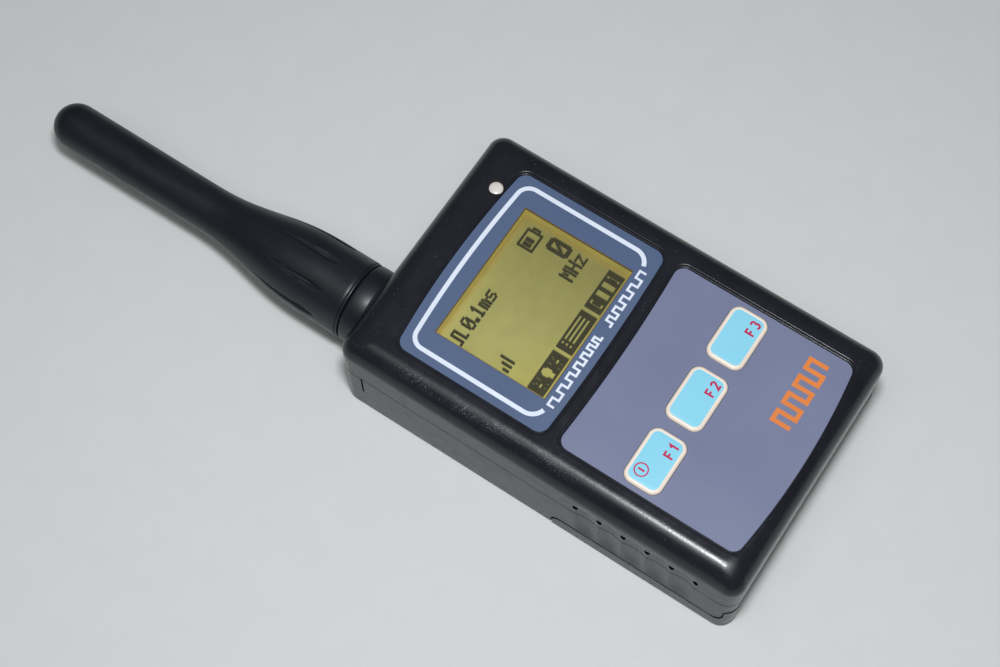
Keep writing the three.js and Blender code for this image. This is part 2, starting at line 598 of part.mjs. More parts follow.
const batteryPlan = roundedRectangle(BATTERY.width, BATTERY.length, BATTERY.round, [0, BATTERY.y]);
addPart('battery_pack', plate(batteryPlan, [BATTERY.z, BATTERY.z + BATTERY.thickness]), FINISH.battery);
addPart('contact_block', contactBlock(), FINISH.chip);
[-1, 0, 1].forEach((k, i) => {
  addPart(`battery_contact_${i + 1}`, contactLeaf(k * CONTACT_PITCH), FINISH.gold);
});
addPart('cover_foam', block([-FOAM.halfWidth, FOAM.halfWidth], FOAM.y, [COVER.back + GLUE_LINE, BATTERY.z - GLUE_LINE]), FINISH.foam);

// Antenna input: everything below is turned round the antenna's axis, y = 0 on the end face ----

const JACK = { flange: [-5.3, -2.2], tip: 9.6, bore: 2.3, contact: 0.64, pinBore: 0.5 };
const NUT = { washer: [0.05, 0.55], body: [0.65, 2.7], circumradius: 4.62 };
const PLUG = { mouth: 5.5, shoulder: 10.2, end: 14.4, outer: 4.45, thread: 3.27, pin: 0.44 };
const CORE = { low: 15.2, high: 77, radius: 1.4 };
const COIL = { low: 18, high: 75, radius: 2.05, wire: 0.3, turns: 9 };
const BORE_END = 79;

function smaJack() {
  const [low, high] = JACK.flange;
  const flange = block([-4, 4], [low, high], [-4, 4]);
  const barrel = rodAlongY(SMA_THREAD_RADIUS, [0, 0], [high - 1, JACK.tip], FINE);
  return flange.add(barrel).subtract(rodAlongY(JACK.bore, [0, 0], [low - 1, JACK.tip + 1]));
}

function jackContact() {
  const bar = rodAlongY(JACK.contact, [0, 0], [-9, 9], ROUND);
  return bar.subtract(rodAlongY(JACK.pinBore, [0, 0], [5.5, 10], ROUND));
}

function smaNut() {
  const hexagon = rodAlongY(NUT.circumradius, [0, 0], NUT.body, 6);
  return hexagon.subtract(rodAlongY(SMA_THREAD_RADIUS + 0.15, [0, 0], [-1, 5]));
}

function collar() {
  const { inner, outer, length } = COLLAR;
  const foot = 0.12;
  return turned([
    [inner, 0.1], [outer + foot, 0.1], [outer + foot, 0.6], [outer, 0.8],
    [outer, length], [outer - 0.25, length + 0.1], [inner, length + 0.1], [inner, 0.1],
  ], FINE);
}

// Radius of the sleeve at a distance from the case: a thick grip, a shoulder, a thin whip.
function sleeveProfile() {
  const shoulder = new THREE.SplineCurve([
    [8.92, 6.2], [8.95, 14.5], [8.72, 20.5], [8.15, 26], [7.15, 31], [6.05, 36], [5.4, 41], [5.15, 46.5],
  ].map(([r, y]) => new THREE.Vector2(r, y)));
  const whip = 5.2;
  const tipSteps = 4;
  const outer = [[8.6, SLEEVE_BASE], [8.85, SLEEVE_BASE + 0.3]];
  outer.push(...shoulder.getPoints(9).map((p) => [p.x, p.y]));
  for (let k = 0; k <= tipSteps; k += 1) {
    const turn = (k / tipSteps) * (Math.PI / 2);
    outer.push([k === tipSteps ? 0 : whip * Math.cos(turn), SLEEVE_TIP - whip + whip * Math.sin(turn)]);
  }
  const pocket = PLUG.outer + CLEARANCE;
  const bore = COIL.radius + COIL.wire + CLEARANCE;
  const inner = [[0, BORE_END], [bore, BORE_END], [bore, PLUG.end + 0.4], [pocket, PLUG.end + 0.4], [pocket, SLEEVE_BASE]];
  return [...inner, ...outer];
}

function plugShell() {
  const { mouth, shoulder, end, outer, thread } = PLUG;
  const inner = 2.25;
  return turned([
    [thread, mouth], [outer, mouth], [outer, end], [inner, end],
    [inner, shoulder], [thread, shoulder], [thread, mouth],
  ], FINE);
}

class Helix extends THREE.Curve {
  getPoint(t, target = new THREE.Vector3()) {
    const angle = t * COIL.turns * Math.PI * 2;
    const y = THREE.MathUtils.lerp(COIL.low, COIL.high, t);
    return target.set(COIL.radius * Math.cos(angle), y, COIL.radius * Math.sin(angle));
  }
}

function radiatorCoil() {
  const wire = new THREE.Shape();
  wire.absarc(0, 0, COIL.wire, 0, Math.PI * 2);
  const options = { steps: COIL.turns * 8, extrudePath: new Helix(), bevelEnabled: false, curveSegments: 2 };
  return toSolid(new THREE.ExtrudeGeometry(wire, options));
}

addPart('sma_jack', smaJack(), FINISH.gold, antennaAxis);
addPart('sma_jack_insulator', ring(JACK.contact + 0.16, JACK.bore - 0.15, [-5.2, 9.4]), FINISH.ptfe, antennaAxis);
addPart('sma_jack_contact', jackContact(), FINISH.gold, antennaAxis);
addPart('sma_washer', ring(SMA_THREAD_RADIUS + 0.15, 4.5, NUT.washer), FINISH.steel, antennaAxis);
addPart('sma_nut', smaNut(), FINISH.gold, antennaAxis);
addPart('connector_collar', collar(), FINISH.sleeveBlack, antennaAxis);
addPart('antenna_sleeve', turned(sleeveProfile(), FINE), FINISH.sleeveBlack, antennaAxis);
addPart('plug_shell', plugShell(), FINISH.gold, antennaAxis);
addPart('plug_insulator', ring(PLUG.pin + 0.14, 2.1, [PLUG.shoulder + 0.15, PLUG.end - 0.3]), FINISH.ptfe, antennaAxis);
addPart('plug_pin', rodAlongY(PLUG.pin, [0, 0], [6.8, 14.9]), FINISH.gold, antennaAxis);
addPart('radiator_coil', radiatorCoil(), FINISH.copper, antennaAxis);
addPart('whip_core', rodAlongY(CORE.radius, [0, 0], [CORE.low, CORE.high], COARSE), FINISH.nylon, antennaAxis);

export default counter;
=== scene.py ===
import json
import math
from functools import partial

import bmesh
import bpy
from mathutils import Matrix, Vector

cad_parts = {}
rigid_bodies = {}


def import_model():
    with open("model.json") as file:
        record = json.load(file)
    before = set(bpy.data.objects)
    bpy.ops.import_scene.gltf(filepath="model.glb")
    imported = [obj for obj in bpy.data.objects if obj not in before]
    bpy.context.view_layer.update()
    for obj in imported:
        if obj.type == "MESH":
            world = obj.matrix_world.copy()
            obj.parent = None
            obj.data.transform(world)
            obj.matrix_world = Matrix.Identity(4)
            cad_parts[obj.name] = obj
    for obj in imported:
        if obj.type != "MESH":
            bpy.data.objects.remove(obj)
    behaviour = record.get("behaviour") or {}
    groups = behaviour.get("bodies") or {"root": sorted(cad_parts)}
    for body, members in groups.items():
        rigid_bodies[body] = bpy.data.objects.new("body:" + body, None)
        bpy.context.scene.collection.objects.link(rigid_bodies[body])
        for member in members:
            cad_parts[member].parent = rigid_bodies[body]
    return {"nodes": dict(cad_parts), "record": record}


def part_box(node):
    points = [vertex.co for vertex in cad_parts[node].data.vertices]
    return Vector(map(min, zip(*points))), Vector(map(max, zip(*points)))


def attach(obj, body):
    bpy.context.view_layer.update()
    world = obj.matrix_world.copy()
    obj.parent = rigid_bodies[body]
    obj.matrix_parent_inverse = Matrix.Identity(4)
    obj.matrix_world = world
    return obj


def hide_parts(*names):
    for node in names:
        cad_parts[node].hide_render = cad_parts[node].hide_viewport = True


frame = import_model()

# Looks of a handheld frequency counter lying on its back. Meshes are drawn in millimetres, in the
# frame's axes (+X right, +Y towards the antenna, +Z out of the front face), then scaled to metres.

MM = 0.001
scene = bpy.context.scene
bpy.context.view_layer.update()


def box_mm(node):
    low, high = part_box(node)
    return low / MM, high / MM


# --- Places and sizes read from the frame ---

FRONT_LOW, FRONT_HIGH = box_mm("front_shell")
REAR_HIGH = box_mm("rear_shell")[1]
COVER_HIGH = box_mm("battery_cover")[1]
HALF_WIDTH = FRONT_HIGH.x
HALF_LENGTH = FRONT_HIGH.y
TOP = FRONT_HIGH.z
FILM_LOW, FILM_HIGH = box_mm("window_overlay")
PAD_LOW, PAD_HIGH = box_mm("keypad_overlay")
FILM_TOP = FILM_HIGH.z
GLASS_HIGH = box_mm("lcd_glass")[1]
COLLAR_LOW, COLLAR_HIGH = box_mm("connector_collar")
SLEEVE_LOW, SLEEVE_HIGH = box_mm("antenna_sleeve")
ANTENNA_X = (COLLAR_LOW.x + COLLAR_HIGH.x) / 2
ANTENNA_Z = (COLLAR_LOW.z + COLLAR_HIGH.z) / 2
SOCKET_AT = (ANTENNA_X, HALF_LENGTH, ANTENNA_Z)
LED = box_mm("status_led")
KEYS = ("key_f1", "key_f2", "key_f3")

# --- Dimensions of the details, in millimetres ---

PLAN_RADIUS = 3.3
FRONT_FILLET = 5.0
BACK_FILLET = 1.6
WALL = 2.0
FRONT_WALL = 2.2
REAR_WALL = 2.2
RECESS_DEPTH = 0.6
RECESS_GAP = 0.25
FILM = {"low": 1.6, "high": 36.9, "radius": 2.4, "bows": (-0.5, 1.1)}
PAD = {"low": -42.7, "high": -1.6, "radius": 2.2, "bows": (-1.4, -0.65)}
WINDOW = (33.3, 5.5, 31.8)  # width, lower and upper edge
LENS_MARGIN = 1.5
LED_HOLE = 1.62
KEY_SIZE = (13.0, 8.5)
KEY_RADIUS = 2.2
KEY_GAP = 0.3
FILM_GAP = 0.07
# The side flutes run from "first" towards the key end; they deepen between the heights "low" and "full".
GRIP = {"first": -10.4, "pitch": 5.58, "count": 5, "depth": 0.45, "top": 18.9, "low": 5.3, "full": 12.5}
PIT = (1.1, 1.9)  # width and height
PROUD = 0.12  # how far the cover stands out from the case's sides
GAP = 0.3
COVER_WALL = 1.6
COVER_FLOOR = 1.9
COVER_LIP = 4.9
COVER_X = HALF_WIDTH - COVER_WALL
COVER_Y = -HALF_LENGTH + 1.5
BEYOND = -HALF_LENGTH - 5  # clear of the key end
BAY = {"half_width": 26.4, "low": -44.0, "ceiling": 8.6, "floor": 10.3}
# The cover's rails: their end, their heights, and how far they reach in and out from COVER_X.
RAIL = {"end": -10, "z": (3.1, 3.75), "inward": 0.65, "outward": 0.4}
FOAM_PATH = (13, 2.9)  # half width and height of the way left for the cover's foam pad
SLIT = {"y": (41.4, 41.85), "low": 8.3, "depth": 1.4}
POSTS = {"front": 3.1, "board": 2.2, "upper": 3.2, "lower": 3.0, "input": 2.4}
CASE_HOLE, BOARD_HOLE, HEAD_WELL = 1.35, 1.0, 2.4
JACK_HOLE, CHARGE_HOLE = 3.5, 2.7
CHARGE_AXIS = 3.4  # above the charging socket's underside
CASE_SCREWS = [box_mm(f"case_screw_{i}") for i in (1, 2, 3, 4)]
BOARD_SCREWS = [box_mm(f"board_screw_{i}") for i in (1, 2, 3, 4)]
INPUT_SCREWS = [box_mm(f"input_screw_{i}") for i in (1, 2)]


def middle(box):
    return ((box[0].x + box[1].x) / 2, (box[0].y + box[1].y) / 2)


# --- Solids ---


def skin(bm, rows, closed):
    """Joins rows of equally many vertices; one on the axis stands for its whole row."""
    pairs = list(zip(rows, rows[1:]))
    if closed:
        pairs.append((rows[-1], rows[0]))
    for low, high in pairs:
        for i in range(len(low)):
            j = (i + 1) % len(low)
            corners = list(dict.fromkeys((low[i], low[j], high[j], high[i])))
            if len(corners) > 2:
                bm.faces.new(corners)


def loft(rings, closed=False):
    """Joins rings of equally many points; closed joins the last ring to the first, else flat ends."""
    bm = bmesh.new()
    rows = [[bm.verts.new(p) for p in ring] for ring in rings]
    skin(bm, rows, closed)
    if not closed:
        bm.faces.new(rows[0][::-1])
        bm.faces.new(rows[-1])
    return bm


def quarter(steps):
    """The sine and cosine of each step of a quarter turn, without the first at 0 degrees."""
    turns = [math.pi / 2 * k / steps for k in range(1, steps + 1)]
    return [(math.sin(t), math.cos(t)) for t in turns]


def prism(outline, low, high):
    return loft([[(x, y, z) for x, y in outline] for z in (low, high)])


def block(x, y, z):
    outline = [(x[0], y[0]), (x[1], y[0]), (x[1], y[1]), (x[0], y[1])]
    return prism(outline, *z)


def circle(radius, centre=(0, 0), sides=48):
    return arc(centre, radius, 0, 360, sides)[:-1]


def rod_up(radius, centre, low, high, sides=48):
    return prism(circle(radius, centre, sides), low, high)


def rod_along_y(radius, centre, low, high, sides=64):
    """A rod parallel to +Y; centre is (x, z)."""
    ring = circle(radius, centre, sides)[::-1]
    return loft([[(x, y, z) for x, z in ring] for y in (low, high)])


def along_x(outline, low, high):
    """A (y, z) outline spread along X."""
    return loft([[(x, y, z) for y, z in outline] for x in (low, high)])


def both_sides(near, far):
    """A span of X on the left of the object and the same one on its right."""
    return ((-far, -near), (near, far))


def stepped(outline, sections):
    """Joins one outline at each of the (growth, height) sections."""
    return loft([[(x, y, z) for x, y in outline(grow)] for grow, z in sections])


def around(radius, height, sides):
    """Points on a level ring round +Y."""
    turns = [2 * math.pi * i / sides for i in range(sides)]
    return [(radius * math.sin(t), height, radius * math.cos(t)) for t in turns]


def turned(profile, sides=96, tip=False):
    """A closed profile of (radius, height) turned round +Y. With tip, it starts and ends on the axis."""
    bm = bmesh.new()
    rows = []
    for radius, height in profile:
        if radius:
            rows.append([bm.verts.new(p) for p in around(radius, height, sides)])
        else:
            rows.append([bm.verts.new((0, height, 0))] * sides)
    skin(bm, rows, closed=not tip)
    return bm


def moved(bm, offset):
    bmesh.ops.translate(bm, vec=Vector(offset), verts=bm.verts)
    return bm


def upright(bm, offset):
    """Stands a solid turned round +Y up along +Z."""
    bmesh.ops.rotate(bm, matrix=Matrix.Rotation(math.pi / 2, 3, "X"), verts=bm.verts)
    return moved(bm, offset)


def raw_object(name, bm):
    mesh = bpy.data.meshes.new(name)
    bmesh.ops.recalc_face_normals(bm, faces=bm.faces)
    bm.to_mesh(mesh)
    bm.free()
    return bpy.data.objects.new(name, mesh)


def placed(obj):
    scene.collection.objects.link(obj)
    return obj


def flat_faces(bm):
    """Splits every face that is bent, so that each one lies in a single plane."""
    bmesh.ops.connect_verts_nonplanar(bm, angle_limit=0.0005, faces=bm.faces[:])
    return bm


def combine(body, tools, operation):
    """Cuts tools out of body, or joins them to it. Returns a new bmesh."""
    holder = bpy.data.collections.new("tools")
    scene.collection.children.link(holder)
    for i, tool in enumerate(tools):
        holder.objects.link(raw_object(f"tool_{i}", flat_faces(tool)))
    base = placed(raw_object("base", flat_faces(body)))
    modifier = base.modifiers.new("combine", "BOOLEAN")
    modifier.operation = operation
    modifier.solver = "EXACT"
    modifier.operand_type = "COLLECTION"
    modifier.collection = holder
    evaluated = base.evaluated_get(bpy.context.evaluated_depsgraph_get())
    bm = bmesh.new()
    bm.from_mesh(evaluated.to_mesh())
    evaluated.to_mesh_clear()
    for obj in [base, *holder.objects]:
        bpy.data.objects.remove(obj)
    bpy.data.collections.remove(holder)
    bmesh.ops.remove_doubles(bm, verts=bm.verts, dist=1e-4)
    return bm


def cut(body, tools):
    return combine(body, tools, "DIFFERENCE")


def join(body, tools):
    return combine(body, tools, "UNION")


# --- Pieces ---


def piece(name, bm, slot, replaces=(), body="case", look="", edge=0.0, edge_angle=36, even=False):
    """Turns a bmesh in millimetres into a finished piece that rides on a body of the frame.

    Its material is the one named by look, or else the one of its material slot.
    """
    bmesh.ops.scale(bm, vec=(MM, MM, MM), verts=bm.verts)
    obj = placed(raw_object(name, bm))
    obj.data.materials.append(MATERIALS[look or slot])
    soften(obj, edge, edge_angle, even)
    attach(obj, body)
    if replaces:
        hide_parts(*replaces)


def soften(obj, edge, edge_angle, even=False):
    """Smooth shading, with the sharp edges rounded to the given radius in millimetres.

    Without a radius the edges stay sharp, and even keeps flat faces evenly lit beside rounded ones.
    """
    mesh = obj.data
    mesh.polygons.foreach_set("use_smooth", [True] * len(mesh.polygons))
    if edge:
        bevel = obj.modifiers.new("edges", "BEVEL")
        bevel.width = edge * MM
        bevel.segments = 2
        bevel.limit_method = "ANGLE"
        bevel.angle_limit = math.radians(edge_angle)
        bevel.miter_outer = "MITER_ARC"
    else:
        mesh.set_sharp_from_angle(angle=math.radians(edge_angle))
    if edge or even:
        normals = obj.modifiers.new("normals", "WEIGHTED_NORMAL")
        normals.keep_sharp = True
        normals.weight = 100


# --- Outlines ---


def arc(centre, radius, start, end, steps):
    """Points on an arc from start to end, in degrees."""
    turns = [math.radians(start + (end - start) * k / steps) for k in range(steps + 1)]
    return [(centre[0] + radius * math.cos(t), centre[1] + radius * math.sin(t)) for t in turns]


def spread(low, high, steps):
    return [low + (high - low) * k / steps for k in range(steps + 1)]


def mirrored(points):
    """The same points across the middle plane, in the order that carries an outline on."""
    return [(-x, y) for x, y in reversed(points)]


def rounded(width, length, radius, centre=(0, 0), steps=10):
    x, y = centre
    w, l = width / 2 - radius, length / 2 - radius
    corners = ((w, -l, -90), (w, l, 0), (-w, l, 90), (-w, -l, 180))
    return [p for dx, dy, a in corners for p in arc((x + dx, y + dy), radius, a, a + 90, steps)]


def bow(span, y, height):
    """Points on a line at y, from -span to span and without its ends, that bows by a height."""
    return [(x, y + height * (1 - (x / span) ** 2)) for x in spread(-span, span, 24)[1:-1]]


def bowed(half_width, low, high, radius, bows, grow):
    """A rounded rectangle whose lower and upper edges bow by the given heights."""
    low, high, r = low - grow, high + grow, radius + grow
    span = half_width + grow - r
    right = arc((span, low + r), r, -90, 0, 10) + arc((span, high - r), r, 0, 90, 10)
    lower, upper = bow(span, low, bows[0]), bow(span, high, bows[1])
    return lower + right + upper[::-1] + mirrored(right)


def window_outline(grow=0.0):
    return bowed(FILM_HIGH.x, **FILM, grow=grow)


def keypad_outline(grow=0.0):
    return bowed(PAD_HIGH.x, **PAD, grow=grow)


def ribbon(path, width, low, high, closed=False):
    """A flat band of the given width along a path, as a thin solid."""
    points = [Vector(p) for p in path]
    ways = [(b - a).normalized() for a, b in zip(points, points[1:] + points[:1])]
    if not closed:
        ways[-1] = ways[-2]
    left, right = [], []
    for i, p in enumerate(points):
        a = ways[i - 1] if i or closed else ways[0]
        tangent = (a + ways[i]).normalized()
        normal = Vector((-tangent.y, tangent.x))
        reach = width / 2 / max(0.3, abs(normal.dot(Vector((-a.y, a.x)))))
        left.append(p + normal * reach)
        right.append(p - normal * reach)
    sections = []
    for a, b in zip(left, right):
        sections.append([(b.x, b.y, low), (a.x, a.y, low), (a.x, a.y, high), (b.x, b.y, high)])
    return loft(sections, closed)


def merged(parts):
    """Puts separate, non-touching solids into one bmesh."""
    whole = bmesh.new()
    for part in parts:
        mesh = bpy.data.meshes.new("part")
        part.to_mesh(mesh)
        part.free()
        whole.from_mesh(mesh)
        bpy.data.meshes.remove(mesh)
    return whole


# --- Materials ---


def srgb(*display):
    """A display colour, 0 to 255, as a linear colour."""
    parts = [part / 255 for part in display]
    return (*(v / 12.92 if v <= 0.04045 else ((v + 0.055) / 1.055) ** 2.4 for v in parts), 1.0)


def scaled(colour, factor):
    return tuple(min(1, part * factor) for part in colour[:3]) + (1.0,)


MATERIALS = {}


class Nodes:
    """A new Principled material in MATERIALS, with helpers for the patterns that drive it."""

    def __init__(self, name):
        MATERIALS[name] = bpy.data.materials.new(name)
        MATERIALS[name].use_nodes = True
        self.tree = MATERIALS[name].node_tree
        self.shader = self.tree.nodes["Principled BSDF"]
        self.place = self.new("TexCoord").outputs["Object"]

    def plug(self, socket, value):
        """Sets an input to a number, a colour or the output of another node."""
        if isinstance(value, (int, float, tuple)):
            socket.default_value = value
        else:
            self.tree.links.new(value, socket)

    def feed(self, node, **values):
        for name, value in values.items():
            self.plug(node.inputs[name.replace("_", " ")], value)

    def new(self, kind, **values):
        node = self.tree.nodes.new("ShaderNode" + kind)
        self.feed(node, **values)
        return node

    def set(self, **values):
        self.feed(self.shader, **values)

    def axis(self, name):
        return self.new("SeparateXYZ", Vector=self.place).outputs[name]

    def noise(self, scale, detail=3.0, stretch=(1, 1, 1), roughness=0.5):
        """Noise over the piece; scale is in features per millimetre."""
        at = self.new("Mapping", Scale=stretch, Vector=self.place).outputs["Vector"]
        size = {"Scale": scale / MM, "Detail": detail, "Roughness": roughness}
        return self.new("TexNoise", Vector=at, **size).outputs["Fac"]

    def remap(self, value, from_low, from_high, to_low=0, to_high=1):
        ends = {"From_Min": from_low, "From_Max": from_high, "To_Min": to_low, "To_Max": to_high}
        return self.new("MapRange", Value=value, **ends).outputs["Result"]

    def cloudy(self, low, high, *noise, **more):
        """Noise stretched to run from low to high."""
        return self.remap(self.noise(*noise, **more), 0.3, 0.7, low, high)

    def math(self, operation, a, b=0.0):
        node = self.new("Math")
        node.operation = operation
        self.plug(node.inputs[0], a)
        self.plug(node.inputs[1], b)
        return node.outputs["Value"]

    def times(self, first, *others):
        for other in others:
            first = self.math("MULTIPLY", first, other)
        return first

    def mix(self, factor, first, second):
        node = self.new("Mix")
        node.data_type = "RGBA"
        self.feed(node, Factor=factor, A=first, B=second)
        return node.outputs["Result"]

    def bump(self, height, strength, depth):
        """Relief of the given depth in millimetres."""
        node = self.new("Bump", Strength=strength, Distance=depth * MM, Height=height)
        self.set(Normal=node.outputs["Normal"])


def mottled(name, colour, rough, vary=0.12, grain=2.0, relief=0.02, coat=0.0):
    """A plain material with patches of tone, uneven gloss and a fine grain."""
    n = Nodes(name)
    darker, lighter = scaled(srgb(*colour), 1 - vary), scaled(srgb(*colour), 1 + vary)
    n.set(Base_Color=n.mix(n.cloudy(0, 1, 0.12, 4), darker, lighter), Coat_Weight=coat)
    n.set(Roughness=n.cloudy(rough * 0.85, min(1, rough * 1.15), 0.6, 4))
    n.bump(n.noise(grain, 2), 0.5, relief)


def pit_shade_mask(n, y, z):
    """Where the pits' painted shade goes: 1 within the outlines of the pits between the side flutes, 0
    elsewhere.
    """
    along = n.math("PINGPONG", n.math("SUBTRACT", y, GRIP["first"] * MM), GRIP["pitch"] / 2 * MM)
    u = n.math("DIVIDE", along, PIT[0] / 2 * MM)
    v = n.math("DIVIDE", n.math("SUBTRACT", z, GRIP["top"] * MM), PIT[1] / 2 * MM)
    reach = n.math("ADD", n.times(u, u), n.times(v, v))
    beside = n.math("LESS_THAN", y, (GRIP["first"] + 1) * MM)
    return n.times(beside, n.remap(reach, 1.3, 1.5, 1, 0))


def edge_scuffs(n, x, y, z):
    """How worn the case is: scuffs on a strip along the front edge's left, fine specks at the front."""
    outer, inner = n.remap(x, -28.4 * MM, -27.3 * MM), n.remap(x, -26.4 * MM, -25.6 * MM, 1, 0)
    across = n.math("MINIMUM", outer, inner)
    near, far = n.remap(y, -16 * MM, 4 * MM), n.remap(y, 26 * MM, 36 * MM, 1, 0.15)
    along = n.math("MINIMUM", near, far)
    clouds = n.remap(n.noise(0.3, 4, stretch=(1, 0.4, 1)), 0.42, 0.56)
    scuffs = n.times(across, along, n.remap(z, 20 * MM, 22 * MM), clouds)
    grain = n.remap(n.noise(4.4, 2, roughness=0.75, stretch=(1, 0.7, 1)), 0.55, 0.68)
    specks = n.times(n.remap(n.noise(2.6, 1), 0.77, 0.8), n.remap(z, 24 * MM, 26 * MM, 0, 0.5))
    return n.math("MAXIMUM", n.times(grain, scuffs), specks)


def case_plastic():
    """Black moulding, shiny on its front edge, with a fine grain, pale scuffs and painted shade in its
    pits.
    """
    n = Nodes("case_plastic")
    x, y, z = (n.axis(name) for name in "XYZ")
    tone = n.mix(n.cloudy(0, 1, 0.1, 4), srgb(27, 29, 35), srgb(33, 35, 43))
    wear = edge_scuffs(n, x, y, z)
    worn = n.mix(wear, tone, srgb(138, 142, 154))
    # Painted shade in the pits: their insides turn near black and lose their reflection.
    sunk = n.remap(n.math("ABSOLUTE", x), (HALF_WIDTH - 0.16) * MM, (HALF_WIDTH - 0.2) * MM)
    shade = n.times(pit_shade_mask(n, y, z), sunk)
    n.set(Base_Color=n.mix(shade, worn, srgb(4, 4, 5)))
    n.set(Roughness=n.math("ADD", n.cloudy(0.22, 0.3, 0.35, 5), n.times(wear, 0.3)))
    n.set(IOR=n.remap(z, 23 * MM, 26.6 * MM, 1.33, 1.5))
    n.set(Specular_IOR_Level=n.remap(shade, 0, 1, 0.5, 0))
    n.bump(n.noise(3.0, 2), 0.7, 0.02)


def antenna_rubber():
    """Moulded rubber: darker and less shiny than the case, with a faint length-wise flow."""
    n = Nodes("antenna_rubber")
    patches = n.cloudy(0, 1, 0.15, 4, stretch=(1, 0.35, 1))
    n.set(Base_Color=n.mix(patches, srgb(23, 25, 31), srgb(31, 33, 42)), IOR=1.44)
    n.set(Roughness=n.cloudy(0.34, 0.45, 0.5, 4, stretch=(1, 0.3, 1)))
    n.bump(n.noise(2.6, 3), 0.4, 0.015)


def printed_film(name, dark, light, rough=0.42):
    """Printed polycarbonate film: a very fine satin grain and a slow drift of tone."""
    n = Nodes(name)
    drift, grain = n.cloudy(0, 1, 0.035), n.cloudy(0.35, 0.65, 3.2, 1)
    tone = n.math("ADD", n.times(drift, 0.6), n.times(grain, 0.4))
    n.set(Base_Color=n.mix(tone, srgb(*dark), srgb(*light)))
    n.set(Roughness=n.cloudy(rough - 0.03, rough + 0.03, 0.08))
    n.bump(n.noise(4.5, 1), 0.3, 0.01)


def display_glass():
    """Yellow-green display with its backlight's light painted in: brighter to the left, browner to the
    right, amber along its edges.
    """
    n = Nodes("lcd")
    x, y = n.axis("X"), n.axis("Y")
    # Painted backlight light: brighter to the left, a warm lower left corner, and an amber glow along
    # the edges.
    across = n.remap(x, -9 * MM, 17 * MM)
    tone = n.mix(across, srgb(192, 188, 115), srgb(150, 145, 86))
    corner = n.remap(n.math("ADD", x, n.times(y, 1.4)), -3 * MM, 16 * MM, 1, 0)
    tone = n.mix(n.times(corner, 0.5), tone, srgb(205, 196, 96))
    width, low, high = WINDOW
    amber = 1.6
    edges = []
    for value, centre, half in ((x, 0, width / 2), (y, (low + high) / 2, (high - low) / 2)):
        off = n.math("ABSOLUTE", n.math("SUBTRACT", value, centre * MM))
        edges.append(n.remap(off, (half - amber) * MM, half * MM))
    glow = n.times(n.math("MAXIMUM", *edges), 0.75)
    tone = n.mix(n.math("POWER", glow, 1.6), tone, srgb(176, 140, 60))
    n.set(Base_Color=n.mix(n.cloudy(0, 0.06, 2.0, 1), tone, srgb(150, 150, 92)))
    n.set(Roughness=0.55, Specular_IOR_Level=0.2)
    n.bump(n.noise(3.0, 1), 0.2, 0.01)


def window_edge():
    """Cut edge of the window, painted to glow with the display's light, with a brown line along the
    printed film.
    """
    n = Nodes("window_edge")
    line = n.remap(n.axis("Z"), (FILM_TOP - 0.75) * MM, (FILM_TOP - 0.6) * MM)
    # Painted light: the pale colour and the emission make this edge glow as if lit by the display.
    body = n.mix(n.cloudy(0, 0.25, 0.3), srgb(196, 182, 100), srgb(178, 160, 78))
    n.set(Base_Color=n.mix(line, body, srgb(118, 84, 34)), Roughness=0.4)
    n.set(Emission_Color=srgb(176, 166, 92), Emission_Strength=n.remap(line, 0, 1, 0.34, 0.05))
    n.bump(n.noise(2.0, 2), 0.3, 0.01)


def clear_window():
    """A clear window: lets the light through and mirrors a little of it, more at a slant."""
    n = Nodes("clear_window")
    n.set(Base_Color=srgb(30, 32, 30), Alpha=n.cloudy(0.05, 0.08, 0.3))
    n.set(Roughness=0.08, Specular_IOR_Level=0.6)


def brushed(name, colour, rough, stretch=(1, 1, 1)):
    """Metal with fine scratches, parallel where the noise is stretched."""
    n = Nodes(name)
    scratches = n.noise(2.0, 4, stretch=stretch)
    bright, dull = srgb(*colour), scaled(srgb(*colour), 0.8)
    n.set(Base_Color=n.mix(n.remap(scratches, 0.35, 0.65), dull, bright), Metallic=1.0)
    n.set(Roughness=n.remap(scratches, 0.3, 0.7, rough * 0.8, rough * 1.25))
    n.bump(scratches, 0.3, 0.01)


def circuit_board():
    """Green solder mask over copper tracks that run both ways."""
    n = Nodes("circuit_board")
    ways = [n.noise(0.5, 0, stretch=stretch) for stretch in ((1, 0.06, 1), (0.06, 1, 1))]
    over = n.remap(n.math("MAXIMUM", *ways), 0.58, 0.6)
    n.set(Base_Color=n.mix(over, srgb(18, 74, 44), srgb(40, 112, 62)), Roughness=0.35)
    n.bump(over, 0.6, 0.03)


def battery_wrap():
    """Dark shrink wrap with two plain coloured bands."""
    n = Nodes("battery_wrap")
    x = n.axis("X")
    band = n.math("GREATER_THAN", x, 9 * MM)
    thin = n.math("LESS_THAN", n.math("ABSOLUTE", n.math("SUBTRACT", x, 6.5 * MM)), 0.7 * MM)
    base = n.mix(n.math("MAXIMUM", band, thin), srgb(40, 44, 52), srgb(70, 120, 150))
    n.set(Base_Color=base, Roughness=n.cloudy(0.25, 0.4, 0.5, 4))
    n.bump(n.noise(0.5, 3), 0.4, 0.05)


